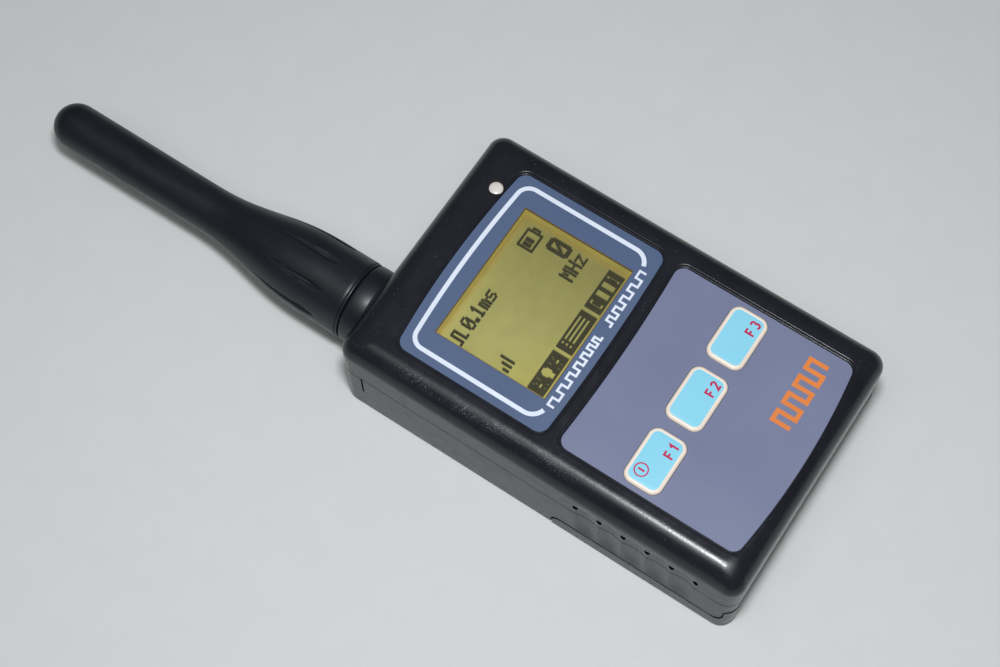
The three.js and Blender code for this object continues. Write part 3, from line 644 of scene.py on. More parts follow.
def build_materials():
    case_plastic()
    antenna_rubber()
    printed_film("window_print", (78, 96, 129), (88, 106, 139))
    printed_film("keypad_print", (112, 119, 149), (124, 132, 161))
    printed_film("key_blue", (140, 216, 240), (152, 226, 248), 0.34)
    mottled("key_cream", (252, 236, 219), 0.35, vary=0.04, relief=0.01, coat=0.2)
    mottled("white_ink", (230, 239, 254), 0.45, vary=0.03, relief=0.005)
    mottled("crimson_ink", (196, 32, 88), 0.4, vary=0.06, relief=0.005)
    mottled("orange_ink", (232, 132, 58), 0.45, vary=0.06, relief=0.005)
    display_glass()
    mottled("lcd_ink", (56, 54, 26), 0.6, vary=0.1, relief=0.002)
    mottled("lcd_shadow", (118, 114, 62), 0.6, vary=0.1, relief=0.002)
    window_edge()
    clear_window()
    mottled("led_lens", (228, 222, 214), 0.25, vary=0.03, relief=0.005, coat=0.4)
    mottled("light_guide", (230, 232, 200), 0.3, vary=0.03, relief=0.01)
    brushed("tinned_sheet", (190, 192, 188), 0.32, (1, 0.05, 1))
    brushed("steel", (150, 152, 156), 0.3)
    brushed("gold_plate", (214, 172, 92), 0.24)
    brushed("copper_wire", (190, 118, 78), 0.3)
    circuit_board()
    mottled("chip_black", (30, 30, 32), 0.6)
    mottled("soft_rubber", (58, 58, 60), 0.9, relief=0.04)
    mottled("foam", (50, 51, 54), 1.0, vary=0.3, grain=1.2, relief=0.15)
    mottled("ptfe", (240, 239, 233), 0.5, vary=0.02, relief=0.01)
    mottled("nylon", (216, 214, 201), 0.6, vary=0.04)
    battery_wrap()
    mottled("floor_paper", (220, 222, 220), 0.8, vary=0.01)


# --- Case ---


def flute_depth(y, z):
    """How deep the ball-ended side flutes are at a point of the side wall."""
    pitch, depth = GRIP["pitch"], GRIP["depth"]
    offset = (GRIP["first"] - y) / pitch
    if z < GRIP["low"] or not 0 <= offset <= GRIP["count"]:
        return 0.0
    radius = pitch**2 / (8 * depth) + depth / 2
    across = (offset - math.floor(offset) - 0.5) * pitch
    above = max(0.0, z - GRIP["top"])
    inside = radius**2 - across**2 - above**2
    rise = min(1.0, (z - GRIP["low"]) / (GRIP["full"] - GRIP["low"]))
    return rise * (2 - rise) * max(0.0, math.sqrt(max(0.0, inside)) - radius + depth)


def side_stations():
    """Where along Y the side walls carry points: closely spaced through the flutes."""
    last = GRIP["first"] - GRIP["count"] * GRIP["pitch"]
    return spread(last, GRIP["first"], 14 * GRIP["count"])


def case_ring(inset, z, fluted=True):
    """One level outline of the case, with the flutes pressed into its sides if it has them."""
    radius = PLAN_RADIUS - 0.15 * inset
    w, l = HALF_WIDTH - inset, HALF_LENGTH - inset
    right = arc((w - radius, -l + radius), radius, -90, 0, 9)
    right += [(w - (flute_depth(y, z) if fluted else 0), y) for y in side_stations()]
    right += arc((w - radius, l - radius), radius, 0, 90, 9)
    return [(x, y, z) for x, y in right + mirrored(right)]


def front_form():
    """The upper half of the case, solid, with its large round at the front."""
    start = TOP - FRONT_FILLET
    levels = [(PROUD, z) for z in [FRONT_LOW.z, *spread(GRIP["top"], start, 14)]]
    for sine, cosine in quarter(14):
        levels.append((FRONT_FILLET - (FRONT_FILLET - PROUD) * cosine, start + FRONT_FILLET * sine))
    return loft([case_ring(inset, z) for inset, z in levels])


def rear_form(high, sink, fluted=True):
    """The lower half of the case up to a height, solid; sink draws its sides in."""
    levels = [(sink + BACK_FILLET, 0)]
    levels += [(sink + BACK_FILLET * (1 - s), BACK_FILLET * (1 - c)) for s, c in quarter(6)]
    if fluted:
        levels += [(sink, z) for z in spread(GRIP["low"], GRIP["full"], 10)]
    levels.append((sink, high))
    return loft([case_ring(inset, z, fluted) for inset, z in levels])


def end_holes():
    """Openings in the antenna end for the coaxial socket and the charging socket."""
    socket = box_mm("charge_jack")
    span = (HALF_LENGTH - 4, HALF_LENGTH + 3)
    return [
        rod_along_y(JACK_HOLE, (ANTENNA_X, ANTENNA_Z), *span),
        rod_along_y(CHARGE_HOLE, (middle(socket)[0], socket[0].z + CHARGE_AXIS), *span),
    ]


def full_round(width, height, centre, steps=12):
    """An upright slot with half-circle ends."""
    radius, rise = width / 2, (height - width) / 2
    upper = arc((centre[0], centre[1] + rise), radius, 0, 180, steps)
    return upper + arc((centre[0], centre[1] - rise), radius, 180, 360, steps)


def grip_pits():
    """Small upright pits where the ridges between the flutes end."""
    pits = []
    for span in both_sides(HALF_WIDTH - 1.2, HALF_WIDTH + 1):
        for k in range(GRIP["count"] + 1):
            centre = (GRIP["first"] - k * GRIP["pitch"], GRIP["top"])
            pits.append(along_x(full_round(*PIT, centre), *span))
    return pits


def key_outline(key, grow, steps=12):
    """A key seen from the front, let out by grow."""
    width, length = (side + 2 * grow for side in KEY_SIZE)
    return rounded(width, length, max(0.4, KEY_RADIUS + grow), middle(box_mm(key)), steps)


def key_openings(gap, low, high):
    return [prism(key_outline(key, gap, 10), low, high) for key in KEYS]


def recess(outline, floor):
    """The sunken bed of a film; its rim steps up in two small rounds that catch the light."""
    small, large, ledge = 0.2, 0.28, 0.2
    wall = TOP - large - small
    profile = [(RECESS_GAP, floor)]
    steps = ((small, RECESS_GAP, wall), (large, RECESS_GAP + small + ledge, TOP - large))
    for radius, grow, low in steps:
        profile.append((grow, low))
        profile += [(grow + radius * (1 - cosine), low + radius * sine) for sine, cosine in quarter(5)]
    clear = profile[-1][0] + 0.3
    profile += [(clear, TOP + 0.01), (clear, TOP + 1)]
    return stepped(outline, profile)


def posts(boxes, radius, low, high):
    """Upright posts or holes on the screws' axes."""
    return [rod_up(radius, middle(box), low, high) for box in boxes]


def front_shell():
    inside = TOP - FRONT_WALL
    half_x, half_y = HALF_WIDTH - WALL, HALF_LENGTH - WALL
    shell = cut(front_form(), [block((-half_x, half_x), (-half_y, half_y), (0, inside))])
    solid = posts(CASE_SCREWS, POSTS["front"], FRONT_LOW.z + 0.15, inside + 0.5)
    solid += posts(BOARD_SCREWS, POSTS["board"], box_mm("main_board")[1].z + 0.05, inside + 0.5)
    shell = join(shell, solid)
    floor = TOP - RECESS_DEPTH
    width, low, high = WINDOW
    half, seat = width / 2, width / 2 + LENS_MARGIN
    lens_low = box_mm("window_lens")[0].z - 0.05
    tools = [
        recess(window_outline, floor),
        recess(keypad_outline, floor),
        block((-half, half), (low, high), (inside - 1, TOP + 2)),
        block((-seat, seat), (low - LENS_MARGIN, high + LENS_MARGIN), (lens_low, TOP)),
        rod_up(LED_HOLE, middle(LED), inside - 1, TOP + 1),
        *end_holes(),
        *grip_pits(),
        *key_openings(KEY_GAP, inside - 1, TOP + 3),
        *posts(CASE_SCREWS, CASE_HOLE, FRONT_LOW.z - 1, inside - 0.6),
        *posts(BOARD_SCREWS, BOARD_HOLE, FRONT_LOW.z - 1, inside - 0.6),
    ]
    return cut(shell, tools)


def cover_outline(grow):
    """The battery cover seen from the side: a low lip that rises into the end wall."""
    corner, sweep, end_wall = 2.4, 2.5, 1.7
    end, lip, top = COVER_HIGH.y + grow, COVER_LIP + grow, COVER_HIGH.z + grow
    rise = -HALF_LENGTH + end_wall + grow
    outline = [(end, -1)]
    outline += arc((end - corner, lip - corner), corner, 0, 90, 8)
    outline += arc((rise + sweep, lip + sweep), sweep, -90, -180, 8)
    return outline + [(rise, top), (BEYOND, top), (BEYOND, -1)]


def rear_shell():
    bay_end = COVER_HIGH.y + GAP
    half_y = HALF_LENGTH - WALL
    inner_x = (-HALF_WIDTH + WALL, HALF_WIDTH - WALL)
    bay_x = (-BAY["half_width"], BAY["half_width"])
    core = block((-COVER_X + GAP, COVER_X - GAP), (COVER_Y + GAP, 10), (COVER_FLOOR + GAP, 20))
    foam_x, foam_top = FOAM_PATH
    shell = cut(rear_form(REAR_HIGH.z, PROUD), [
        block(inner_x, (-half_y, half_y), (BAY["floor"], 30)),
        block(inner_x, (bay_end + WALL, half_y), (REAR_WALL, 30)),
        block(bay_x, (BAY["low"], bay_end), (-1, BAY["ceiling"])),
        cut(along_x(cover_outline(GAP), -40, 40), [core]),
        block((-foam_x, foam_x), (BEYOND, BAY["low"] + 1), (-1, foam_top)),
    ])
    upper, lower = CASE_SCREWS[:2], CASE_SCREWS[2:]
    boss_top = REAR_HIGH.z - 0.15
    bosses = posts(upper, POSTS["upper"], 1, boss_top)
    bosses += posts(lower, POSTS["lower"], BAY["floor"] - 1, boss_top)
    bosses += posts(INPUT_SCREWS, POSTS["input"], 1, box_mm("input_board")[0].z - 0.05)
    shell = join(shell, bosses)
    tools = posts(upper, HEAD_WELL, -1, 5)
    tools += posts(CASE_SCREWS, CASE_HOLE, -1, 20)
    tools += posts(INPUT_SCREWS, BOARD_HOLE, 4, 20)
    slit_x = (-HALF_WIDTH - 1, -HALF_WIDTH + SLIT["depth"])
    tools.append(block(slit_x, SLIT["y"], (SLIT["low"], REAR_HIGH.z + 1)))
    rail_space = ((BEYOND, RAIL["end"] + 0.5), (RAIL["z"][0] - GAP, RAIL["z"][1] + GAP))
    tools += [block(x, *rail_space) for x in both_sides(COVER_X - 1, COVER_X + 1)]
    return cut(shell, tools + end_holes())


def battery_cover():
    inside = block((-COVER_X, COVER_X), (COVER_Y, 10), (COVER_FLOOR, 20))
    seen_from_side = along_x(cover_outline(0), -40, 40)
    cover = combine(rear_form(12, 0, fluted=False), [seen_from_side], "INTERSECT")
    cover = cut(cover, [inside])
    sides = both_sides(COVER_X - RAIL["inward"], COVER_X + RAIL["outward"])
    cover = join(cover, [block(x, (BAY["low"], RAIL["end"]), RAIL["z"]) for x in sides])
    # Three grooves for the thumb, cut by rods of this radius
    radius, depth, first, spacing, half = 0.9, 0.35, -12, 2.4, 7
    rounds = [circle(radius, (first - spacing * k, depth - radius), 24) for k in range(3)]
    return cut(cover, [along_x(outline, -half, half) for outline in rounds])


def build_case():
    shading = {"edge_angle": 30, "even": True}
    piece("front_case", front_shell(), "case_plastic", ["front_shell"], **shading)
    piece("rear_case", rear_shell(), "case_plastic", ["rear_shell"], **shading)
    piece("cover_panel", battery_cover(), "case_plastic", ["battery_cover"], "battery_cover", **shading)


def screw_body(box):
    """A cross-head screw, head down, its thread drawn as stacked ridges."""
    low, high = box
    head = (high.x - low.x) / 2
    height = head * 0.8
    shank = head * 0.55
    length = high.z - low.z
    ridge, point = 0.5, 0.9
    profile = [(0, 0), (head * 0.45, 0.02), (head * 0.8, height * 0.22), (head, height * 0.6)]
    profile += [(head, height), (shank, height)]
    y = height
    while y < length - point - ridge:
        profile += [(shank, y + 0.3 * ridge), (shank * 0.84, y + 0.8 * ridge)]
        y += ridge
    profile += [(shank * 0.9, length - point), (0, length)]
    wide, narrow = (-head * 0.55, head * 0.55), (-head * 0.12, head * 0.12)
    deep = (-1, height * 0.55)
    body = cut(turned(profile, 40, tip=True), [block(wide, deep, narrow), block(narrow, deep, wide)])
    return upright(body, (*middle(box), low.z))


def build_screws():
    for i, box in enumerate(CASE_SCREWS, 1):
        node = f"case_screw_{i}"
        piece(f"{node}_body", screw_body(box), "steel", [node])


# --- Front panel ---

INK = 0.03
INK_SINK = 0.025
FILM_EDGE = 0.06
LINE_WIDTH = 0.95
LINE_X = 21.12
LINE_TOP = 34.92
LINE_FOOT = 7.6
PULSE_WIDTH = 0.5
PULSE_Y = (2.95, 4.4)
PULSE_WIDEST = 1.75
PULSE_TRAINS = ((-17.2, 0.9, 14), (17.4, 3.4, 10))  # from, to and number of half-waves
WAVE_X = (4.6, 19.8)
WAVE_Y = (-38.2, -34.2)


def border_path():
    """The white line round the display: open at the bottom, where the band of pulses runs."""
    foot, corner, rise = 3.3, 2.85, 0.7
    span = LINE_X - corner
    right = arc((span, LINE_TOP - corner), corner, 88, 0, 10)
    right += arc((LINE_X - foot, LINE_FOOT), foot, 0, -75, 10)
    return mirrored(right) + bow(span, LINE_TOP, rise) + right


def square_wave(start, end, low, high, widest, halves):
    """A square wave of so many half-waves, which shrink evenly from the widest to fill its length."""
    direction = 1 if end > start else -1
    shrink = 2 * (widest * halves - abs(end - start)) / (halves * (halves - 1))
    path = [(start, low)]
    for k in range(halves):
        x, level = path[-1][0], (high, low)[k % 2]
        path += [(x, level), (x + direction * (widest - k * shrink), level)]
    if halves % 2:
        path.append((path[-1][0], low))
    return path


def build_films():
    width, low, high = WINDOW
    opening = block((-width / 2, width / 2), (low, high), (20, 40))
    bm = cut(prism(window_outline(), FILM_LOW.z, FILM_TOP), [opening])
    piece("window_film", bm, "window_print", ["window_overlay"], edge=FILM_EDGE)
    bm = cut(prism(keypad_outline(), PAD_LOW.z, PAD_HIGH.z), key_openings(FILM_GAP, 20, 40))
    piece("keypad_film", bm, "keypad_print", ["keypad_overlay"], edge=FILM_EDGE)


def build_marks():
    """The border line and the pulses on the display's film, and the wave on the keys' film."""
    level = (FILM_TOP, FILM_TOP + INK)
    line = ribbon(border_path(), LINE_WIDTH, *level)
    piece("window_border_line", line, "window_print", look="white_ink")
    trains = []
    for start, end, halves in PULSE_TRAINS:
        path = square_wave(start, end, *PULSE_Y, PULSE_WIDEST, halves)
        trains.append(ribbon(path, PULSE_WIDTH, *level))
    piece("window_pulse_marks", merged(trains), "window_print", look="white_ink")
    halves = 7
    path = square_wave(*WAVE_X, *WAVE_Y, (WAVE_X[1] - WAVE_X[0]) / halves, halves)
    wave = ribbon(path, LINE_WIDTH, PAD_HIGH.z, PAD_HIGH.z + INK)
    piece("keypad_wave_mark", wave, "keypad_print", look="orange_ink")


# --- Keys ---


STROKE = 0.44
LETTER = (1.38, 2.35)  # width and height
LETTER_GAP = 0.5
LEGEND_AT = (3.3, -1.7)  # from the key's middle
SYMBOL_AT = (-3.15, 1.35)
SYMBOL_RADIUS = 1.38
KEY_SHOULDER = 0.72
KEY_FLANGE = (0.8, 0.6)  # how far it stands out, and its thickness
LETTERS = {
    "F": [[(0, 0), (0, 2), (1, 2)], [(0.15, 1.05), (0.85, 1.05)]],
    "1": [[(0.1, 1.5), (0.6, 2), (0.6, 0)]],
    "2": [[*arc((0.5, 1.5), 0.5, 165, -35, 10), (0, 0), (1.02, 0)]],
    "3": [[*arc((0.48, 1.52), 0.48, 150, -75, 9)], [*arc((0.45, 0.53), 0.53, 75, -150, 10)]],
}


def legend(text, at, low, high):
    """Bold characters drawn with strokes, joined into thin solids; at is the middle of the text."""
    width = LETTER[0] - STROKE
    height = (LETTER[1] - STROKE) / 2
    step = LETTER[0] + LETTER_GAP
    start = at[0] - (len(text) * step - LETTER_GAP) / 2 + STROKE / 2
    foot = at[1] - height
    strokes = []
    for i, letter in enumerate(text):
        for path in LETTERS[letter]:
            points = [(start + i * step + u * width, foot + v * height) for u, v in path]
            strokes.append(ribbon(points, STROKE, low, high))
    return join(strokes[0], strokes[1:])


def key_cap(key):
    """The key's body: a flange inside the case, then a shoulder that rolls over into a flat top."""
    low, high = box_mm(key)
    reach, thick = KEY_FLANGE
    base, crown = FILM_TOP - 0.1, high.z
    sections = [(reach, low.z), (reach, low.z + thick), (0, low.z + thick), (0, base)]
    sections += [(KEY_SHOULDER * (c - 1), base + (crown - base) * s) for s, c in quarter(8)]
    sections += [(-KEY_SHOULDER - 0.06, crown - 0.01), (-KEY_SHOULDER - 0.1, crown - 0.06)]
    return stepped(partial(key_outline, key), sections)


def key_face(key):
    """The blue inlay, very slightly crowned."""
    top = box_mm(key)[1].z - INK_SINK
    drops = ((-0.84, 0.06), (-0.84, 0.03), (-0.92, 0.015), (-1.6, 0.004), (-2.6, 0))
    return stepped(partial(key_outline, key), [(grow, top - drop) for grow, drop in drops])


def power_symbol(centre, low, high):
    """A ring with an upright bar in it."""
    x, y = centre
    half, thin, thick = 0.72, 0.28, 0.42
    ring = ribbon(circle(SYMBOL_RADIUS, centre), thin, low, high, closed=True)
    bar = ribbon([(x, y - half), (x, y + half)], thick, low, high)
    return merged([ring, bar])


def build_keys():
    for i, key in enumerate(KEYS, 1):
        x, y = middle(box_mm(key))
        top = box_mm(key)[1].z
        ink = (top - 2 * INK_SINK, top)
        piece(f"{key}_cap", key_cap(key), "key_film", [key], key, "key_cream", edge_angle=60)
        piece(f"{key}_face", key_face(key), "key_film", (), key, "key_blue", edge_angle=60)
        text = legend(f"F{i}", (x + LEGEND_AT[0], y + LEGEND_AT[1]), *ink)
        piece(f"{key}_legend", text, "key_film", (), key, "crimson_ink")
        if i == 1:
            symbol = power_symbol((x + SYMBOL_AT[0], y + SYMBOL_AT[1]), *ink)
            piece("power_symbol", symbol, "key_film", (), key, "crimson_ink")


# --- Display ---

COLUMNS, ROWS = 84, 48
DOT_X, DOT_Y = 0.366, 0.48
DOT_BLEED = 0.09
ROW_GAP = 0.02
SCREEN_TOP = 29.6
GLYPHS = {  # rows from the top, parted by spaces
    "0": ".###. #...# #..## #.#.# ##..# #...# .###.",
    "1": "..#.. .##.. ..#.. ..#.. ..#.. ..#.. .###.",
    ".": ".. .. .. .. .. ## ##",
    "m": "..... ..... ##.#. #.#.# #.#.# #.#.# #.#.#",
    "s": "..... ..... .#### #.... .###. ....# ####.",
    "M": "#...# ##.## #.#.# #.#.# #...# #...# #...#",
    "H": "#...# #...# #...# ##### #...# #...# #...#",
    "z": "..... ..... ##### ...#. ..#.. .#... #####",
    "pulse": "..####.. ..#..#.. ..#..#.. ..#..#.. ..#..#.. ..#..#.. ###..###",
    "bars": ".......# .......# ....#..# ....#..# .#..#..# .#..#..# .#..#..#",
    "battery": (
        "############.. #..........#.. #.##.##....### #.##.##....#.# #.##.##....#.# "
        "#.##.##....### #..........#.. ############.."
    ),
    "big_zero": (
        ".######. ######## ##....## ##...### ##..#### ##.##.## ####..## ###...## ##....## "
        "######## .######."
    ),
    "lamp": (
        "#...#...####...#...# .#..#..######..#..#. .......######....... ###....######....### "
        "........####........ .#..#...####...#..#."
    ),
    "list": "##.################# .................... " * 3,
    "pause": (
        "###...####..####..## #.....####..####...# #.....####..####...# #.....####..####...# "
        "#.....####..####...# ###...####..####..##"
    ),
}


def stamp(dots, glyph, column, row, erase=False):
    for r, line in enumerate(GLYPHS[glyph].split()):
        for c, mark in enumerate(line):
            if mark == "#":
                dots[row + r][column + c] = not erase


def screen_dots():
    """The picture on the display: gate time, battery level, reading, unit, three soft-key boxes."""
    dots = [[False] * COLUMNS for _ in range(ROWS)]
    stamp(dots, "pulse", 0, 0)
    column = 11
    for letter in "0.1ms":
        stamp(dots, letter, column, 0)
        column += GLYPHS[letter].index(" ") + 1
    stamp(dots, "battery", 69, 0)
    stamp(dots, "big_zero", 76, 11)
    stamp(dots, "bars", 0, 23)
    for i, letter in enumerate("MHz"):
        stamp(dots, letter, 66 + 6 * i, 23)
    for i, icon in enumerate(("lamp", "list", "pause")):
        left = 29 * i
        for row in range(40, ROWS):
            for c in range(left, left + 26):
                dots[row][c] = True
        stamp(dots, icon, left + 3, 41, erase=True)
    return dots


def dot_sheet(dots, shift, low, high):
    """One thin solid for each run of lit dots in a row."""
    left = -COLUMNS * DOT_X / 2 + shift[0]
    top = SCREEN_TOP + shift[1]
    runs = []
    for r, line in enumerate(dots):
        c = 0
        while c < COLUMNS:
            length = 0
            while c + length < COLUMNS and line[c + length]:
                length += 1
            if length:
                y = top - r * DOT_Y
                x = left + c * DOT_X
                run = (x - DOT_BLEED, x + length * DOT_X + DOT_BLEED)
                runs.append(block(run, (y - DOT_Y + ROW_GAP, y), (low, high)))
            c += length + 1
    return merged(runs)


def build_display():
    """The lit dots, and just below them their shadows, which fall up and to the right."""
    dots = screen_dots()
    glass = GLASS_HIGH.z
    shadow = dot_sheet(dots, (0.2, 0.16), glass + 0.005, glass + 0.015)
    piece("lcd_dot_shadows", shadow, "lcd", look="lcd_shadow")
    lit = dot_sheet(dots, (0, 0), glass + 0.03, glass + 0.045)
    piece("lcd_dots", lit, "lcd", look="lcd_ink")


def build_window_edge():
    """The edge of the clear window, painted to glow with the display's colour."""
    width, low, high = WINDOW
    skin, gap = 0.12, 0.02
    x, z = width / 2 - gap, (GLASS_HIGH.z + skin, FILM_TOP - skin)
    outer = block((-x, x), (low + gap, high - gap), z)
    inner = block((-x + skin, x - skin), (low + skin, high - skin), (z[0] - 1, z[1] + 1))
    piece("window_edge", cut(outer, [inner]), "clear_window", look="window_edge")


def build_led():
    """A round lens with a low dome and a flange, on two square leads."""
    radius, dome, flange = 1.52, 0.45, 0.4
    spacing, half = 1.27, 0.25
    foot, top = LED[0].z, LED[1].z
    base = foot + 1.75
    profile = [(0, base), (radius + flange, base), (radius + flange, base + 0.9)]
    profile += [(radius, base + 1.05), (radius, top - dome)]
    profile += [(radius * cosine, top - dome + dome * sine) for sine, cosine in quarter(12)[:-1]]
    profile.append((0, top))
    x, y = middle(LED)
    parts = [upright(turned(profile, 64, tip=True), (x, y, 0))]
    for lead in (x - spacing, x + spacing):
        sides = ((lead - half, lead + half), (y - half, y + half))
        parts.append(block(*sides, (foot, base - 0.01)))
    piece("status_led_lens", merged(parts), "led_lens", ["status_led"], edge_angle=50)


# --- Antenna ---

GRIP_RADIUS = 8.92
WHIP_RADIUS = 5.2
NECK_RADIUS = 5.14
SLEEVE_FOOT = (  # radius, and height above the sleeve's end
    (8.55, 0), (8.75, 0.08), (8.82, 0.22), (8.78, 0.42),
    (8.66, 0.5), (8.66, 0.62), (8.84, 0.72), (8.92, 0.95),
)
TAPER = (13.5, 47.0)  # where the grip narrows to the neck, above the case end
SWELL = (50.0, 70.0)  # where the neck widens to the whip
COLLAR_RADIUS = 8.85
COLLAR_BORE = 5.3
GROOVES = 8
GROOVE_TURN = -33.0
GROOVE_SPAN = (11.0, 29.0)
GROOVE_HALF_WIDTH = 0.95
GROOVE_DEPTH = 0.85


def ease(t):
    """A smooth step from 0 to 1 with flat ends."""
    t = min(1.0, max(0.0, t))
    return t**3 * (6 * t * t - 15 * t + 10)


def sleeve_radius(height):
    """Radius of the antenna at a height above the case end."""
    grip = ease((TAPER[1] - height) / (TAPER[1] - TAPER[0]))
    whip = ease((height - SWELL[0]) / (SWELL[1] - SWELL[0]))
    return NECK_RADIUS + (GRIP_RADIUS - NECK_RADIUS) * grip + (WHIP_RADIUS - NECK_RADIUS) * whip


def groove_depth(height, turn):
    """Depth of the leaf-shaped grooves pressed into the grip, pointed towards the tip."""
    low, high = GROOVE_SPAN
    along = (height - low) / (high - low)
    if not 0 < along < 1:
        return 0.0
    swell = min(1.0, math.sqrt(along / 0.18)) * (1 - along) ** 0.75
    half = GROOVE_HALF_WIDTH * swell
    spacing = 360 / GROOVES
    off = (turn - GROOVE_TURN + spacing / 2) % spacing - spacing / 2
    across = abs(math.radians(off)) * sleeve_radius(height)
    if across >= half:
        return 0.0
    return GROOVE_DEPTH * swell * (1 - (across / half) ** 1.3)


def sleeve_profile():
    """The sleeve's outside from its foot to its tip, with the plug's pocket and the bore inside."""
    base, tip = SLEEVE_LOW.y - HALF_LENGTH, SLEEVE_HIGH.y - HALF_LENGTH
    groove_low, groove_high = GROOVE_SPAN
    neck_end, start = SWELL[0], base + 1.4
    outer = [(radius, base + height) for radius, height in SLEEVE_FOOT]
    heights = spread(start, groove_low, 6)
    heights += spread(groove_low, groove_high, 48)[1:]
    heights += spread(groove_high, neck_end, 20)[1:]
    heights += spread(neck_end, tip - WHIP_RADIUS, 12)[1:]
    outer += [(sleeve_radius(h), h) for h in heights]
    outer += [(WHIP_RADIUS * c, tip - WHIP_RADIUS * (1 - s)) for s, c in quarter(12)[:-1]]
    outer.append((0, tip))
    plug_low, plug_high = box_mm("plug_shell")
    pocket, pocket_end = (plug_high.x - plug_low.x) / 2 + 0.3, plug_high.y - HALF_LENGTH + 0.4
    bore, bore_end = 2.65, 79
    inner = [(0, bore_end), (bore, bore_end), (bore, pocket_end), (pocket, pocket_end), (pocket, base)]
    return inner + outer


def build_sleeve():
    bm = turned(sleeve_profile(), 288, tip=True)
    for v in bm.verts:
        radius = math.hypot(v.co.x, v.co.z)
        if radius < 1 or radius < sleeve_radius(v.co.y) - 0.5:
            continue
        depth = groove_depth(v.co.y, math.degrees(math.atan2(v.co.x, v.co.z)))
        v.co.x *= 1 - depth / radius
        v.co.z *= 1 - depth / radius
    moved(bm, SOCKET_AT)
    piece("antenna_cover", bm, "antenna_rubber", ["antenna_sleeve"], "antenna", edge_angle=40)


def build_collar():
    """A smooth ring that stands on a thin bead."""
    length = COLLAR_HIGH.y - HALF_LENGTH
    start = 0.1
    bead = ((8.85, start), (8.95, 0.14), (8.97, 0.24), (8.97, 0.5))
    neck = ((8.93, 0.58), (8.72, 0.62), (8.72, 0.74))
    rise = ((0.06, 0.8), (0, 0.92))
    fall = ((0, 0.5), (0.03, 0.3), (0.12, 0.1), (0.3, 0))
    profile = [(COLLAR_BORE, start), *bead, *neck]
    profile += [(COLLAR_RADIUS - inset, height) for inset, height in rise]
    profile += [(COLLAR_RADIUS - inset, length - drop) for inset, drop in fall]
    profile.append((COLLAR_BORE, length))
    bm = moved(turned(profile, 128), SOCKET_AT)
    piece("collar_ring", bm, "antenna_rubber", ["connector_collar"], edge_angle=40)


def threaded_barrel(low, high, bore):
    """A tube with a real 1/4-36 thread that fades out at both ends."""
    sides, per_turn, pitch = 48, 8, 25.4 / 36
    crest, depth, run_out = 3.17, 0.38, 0.5
    turns = [2 * math.pi * i / sides for i in range(sides)]
    rings = []
    for y in spread(low, high, int((high - low) / pitch * per_turn)):
        fade = max(0.0, min(1.0, (high - y) / run_out, (y - low) / run_out))
        ring = []
        for i, turn in enumerate(turns):
            ridge = 1 - abs(2 * ((y / pitch - i / sides) % 1) - 1)
            radius = crest - depth * (1 - ridge * fade)
            ring.append((radius * math.sin(turn), y, radius * math.cos(turn)))
        rings.append(ring)
    rings += [around(bore, y, sides) for y in (high, low)]
    return loft(rings, closed=True)


def build_jack():
    """The coaxial socket: a square flange inside the case and a threaded barrel."""
    low, high = box_mm("sma_jack")
    flange_low, tip = low.y - HALF_LENGTH, high.y - HALF_LENGTH
    thick, half, bore = 3.1, 4, 2.3
    flange_high = flange_low + thick
    plate = block((-half, half), (flange_low, flange_high - 0.01), (-half, half))
    flange = cut(plate, [rod_along_y(bore, (0, 0), -20, 20)])
    barrel = threaded_barrel(flange_high, tip, bore)
    bm = moved(merged([barrel, flange]), SOCKET_AT)
    piece("sma_jack_threaded", bm, "gold_plate", ["sma_jack"], edge_angle=25)


# --- Battery ---


def build_battery():
    low, high = box_mm("battery_pack")
    outline = rounded(high.x - low.x, high.y - low.y, 1.5, middle((low, high)), 8)
    body = prism(outline, low.z, high.z)
    piece("battery_body", body, "battery_wrap", ["battery_pack"], edge=0.7)
    half, margin, thick = 1.1, 1.2, 0.04
    y, z = (high.y, high.y + thick), (low.z + margin, high.z - margin)
    pads = []
    for i in (1, 2, 3):
        x = middle(box_mm(f"battery_contact_{i}"))[0]
        pads.append(block((x - half, x + half), y, z))
    piece("battery_pads", merged(pads), "gold_plate")


# --- Carried-over CAD nodes ---


def dress_frame():
    """Gives every CAD node that stays its material, and rounds its edges."""
    slots = {row["node"]: row["material_slot"] for row in frame["record"]["subparts"]}
    for node, obj in frame["nodes"].items():
        if obj.hide_render:
            continue
        obj.data.materials.clear()
        obj.data.materials.append(MATERIALS[slots[node]])
        weld = obj.modifiers.new("weld", "WELD")
        weld.merge_threshold = 0.002 * MM
        thin = slots[node] in ("clear_window", "lcd")
        soften(obj, 0.02 if thin else 0.08, 50)


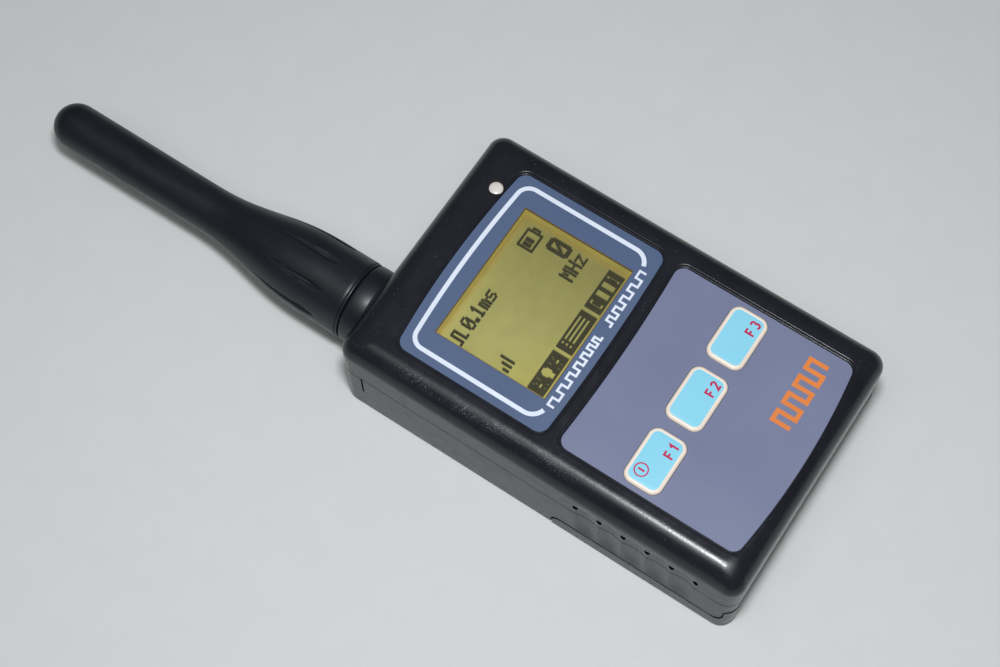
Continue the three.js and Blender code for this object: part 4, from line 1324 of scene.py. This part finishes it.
build_materials()
build_case()
build_screws()
build_films()
build_marks()
build_keys()
build_display()
build_window_edge()
build_led()
build_sleeve()
build_collar()
build_jack()
build_battery()
dress_frame()

# --- Stage ---


def build_floor():
    bm = bmesh.new()
    bmesh.ops.create_grid(bm, x_segments=1, y_segments=1, size=3.0)
    floor = placed(raw_object("floor", bm))
    floor.data.materials.append(MATERIALS["floor_paper"])
    floor.location.z = -0.02 * MM


def area_light(name, at, target, size, power, colour=(1, 1, 1)):
    """A rectangular soft light; places in millimetres, size in metres."""
    data = bpy.data.lights.new(name, "AREA")
    data.shape = "RECTANGLE"
    data.size, data.size_y = size
    data.energy = power
    data.color = colour
    light = placed(bpy.data.objects.new(name, data))
    light.location = Vector(at) * MM
    aim = (Vector(target) - Vector(at)).normalized()
    light.rotation_mode = "QUATERNION"
    light.rotation_quaternion = aim.to_track_quat("-Z", "Y")


def build_camera():
    """The camera looks down on the front face, turned so that the antenna points up left."""
    azimuth, elevation, roll = math.radians(-55.83), math.radians(67.52), math.radians(0.71)
    distance = 381.2
    target = Vector((-9.83, 20.6, TOP))
    back = Vector((
        math.sin(azimuth) * math.cos(elevation),
        -math.cos(azimuth) * math.cos(elevation),
        math.sin(elevation),
    ))
    data = bpy.data.cameras.new("camera")
    data.sensor_width = 36.0
    data.lens = 68.38
    camera = placed(bpy.data.objects.new("camera", data))
    camera.location = (target + back * distance) * MM
    facing = (-back).to_track_quat("-Z", "Y").to_matrix().to_4x4()
    camera.matrix_world = Matrix.Translation(camera.location) @ facing @ Matrix.Rotation(-roll, 4, "Z")
    scene.camera = camera


def build_light():
    centre = (0, 20, 10)
    area_light("key", (-75, -35, 415), centre, (0.05, 0.045), 1.2, (0.95, 0.965, 1.0))
    area_light("fill", (-260, -60, 900), centre, (0.7, 0.5), 1.7)
    world = bpy.data.worlds.new("studio")
    world.use_nodes = True
    sky = world.node_tree.nodes["Background"].inputs
    sky["Color"].default_value = (0.9, 0.93, 0.95, 1)
    sky["Strength"].default_value = 0.08
    scene.world = world
    scene.view_settings.view_transform = "Standard"


build_floor()
build_camera()
build_light()
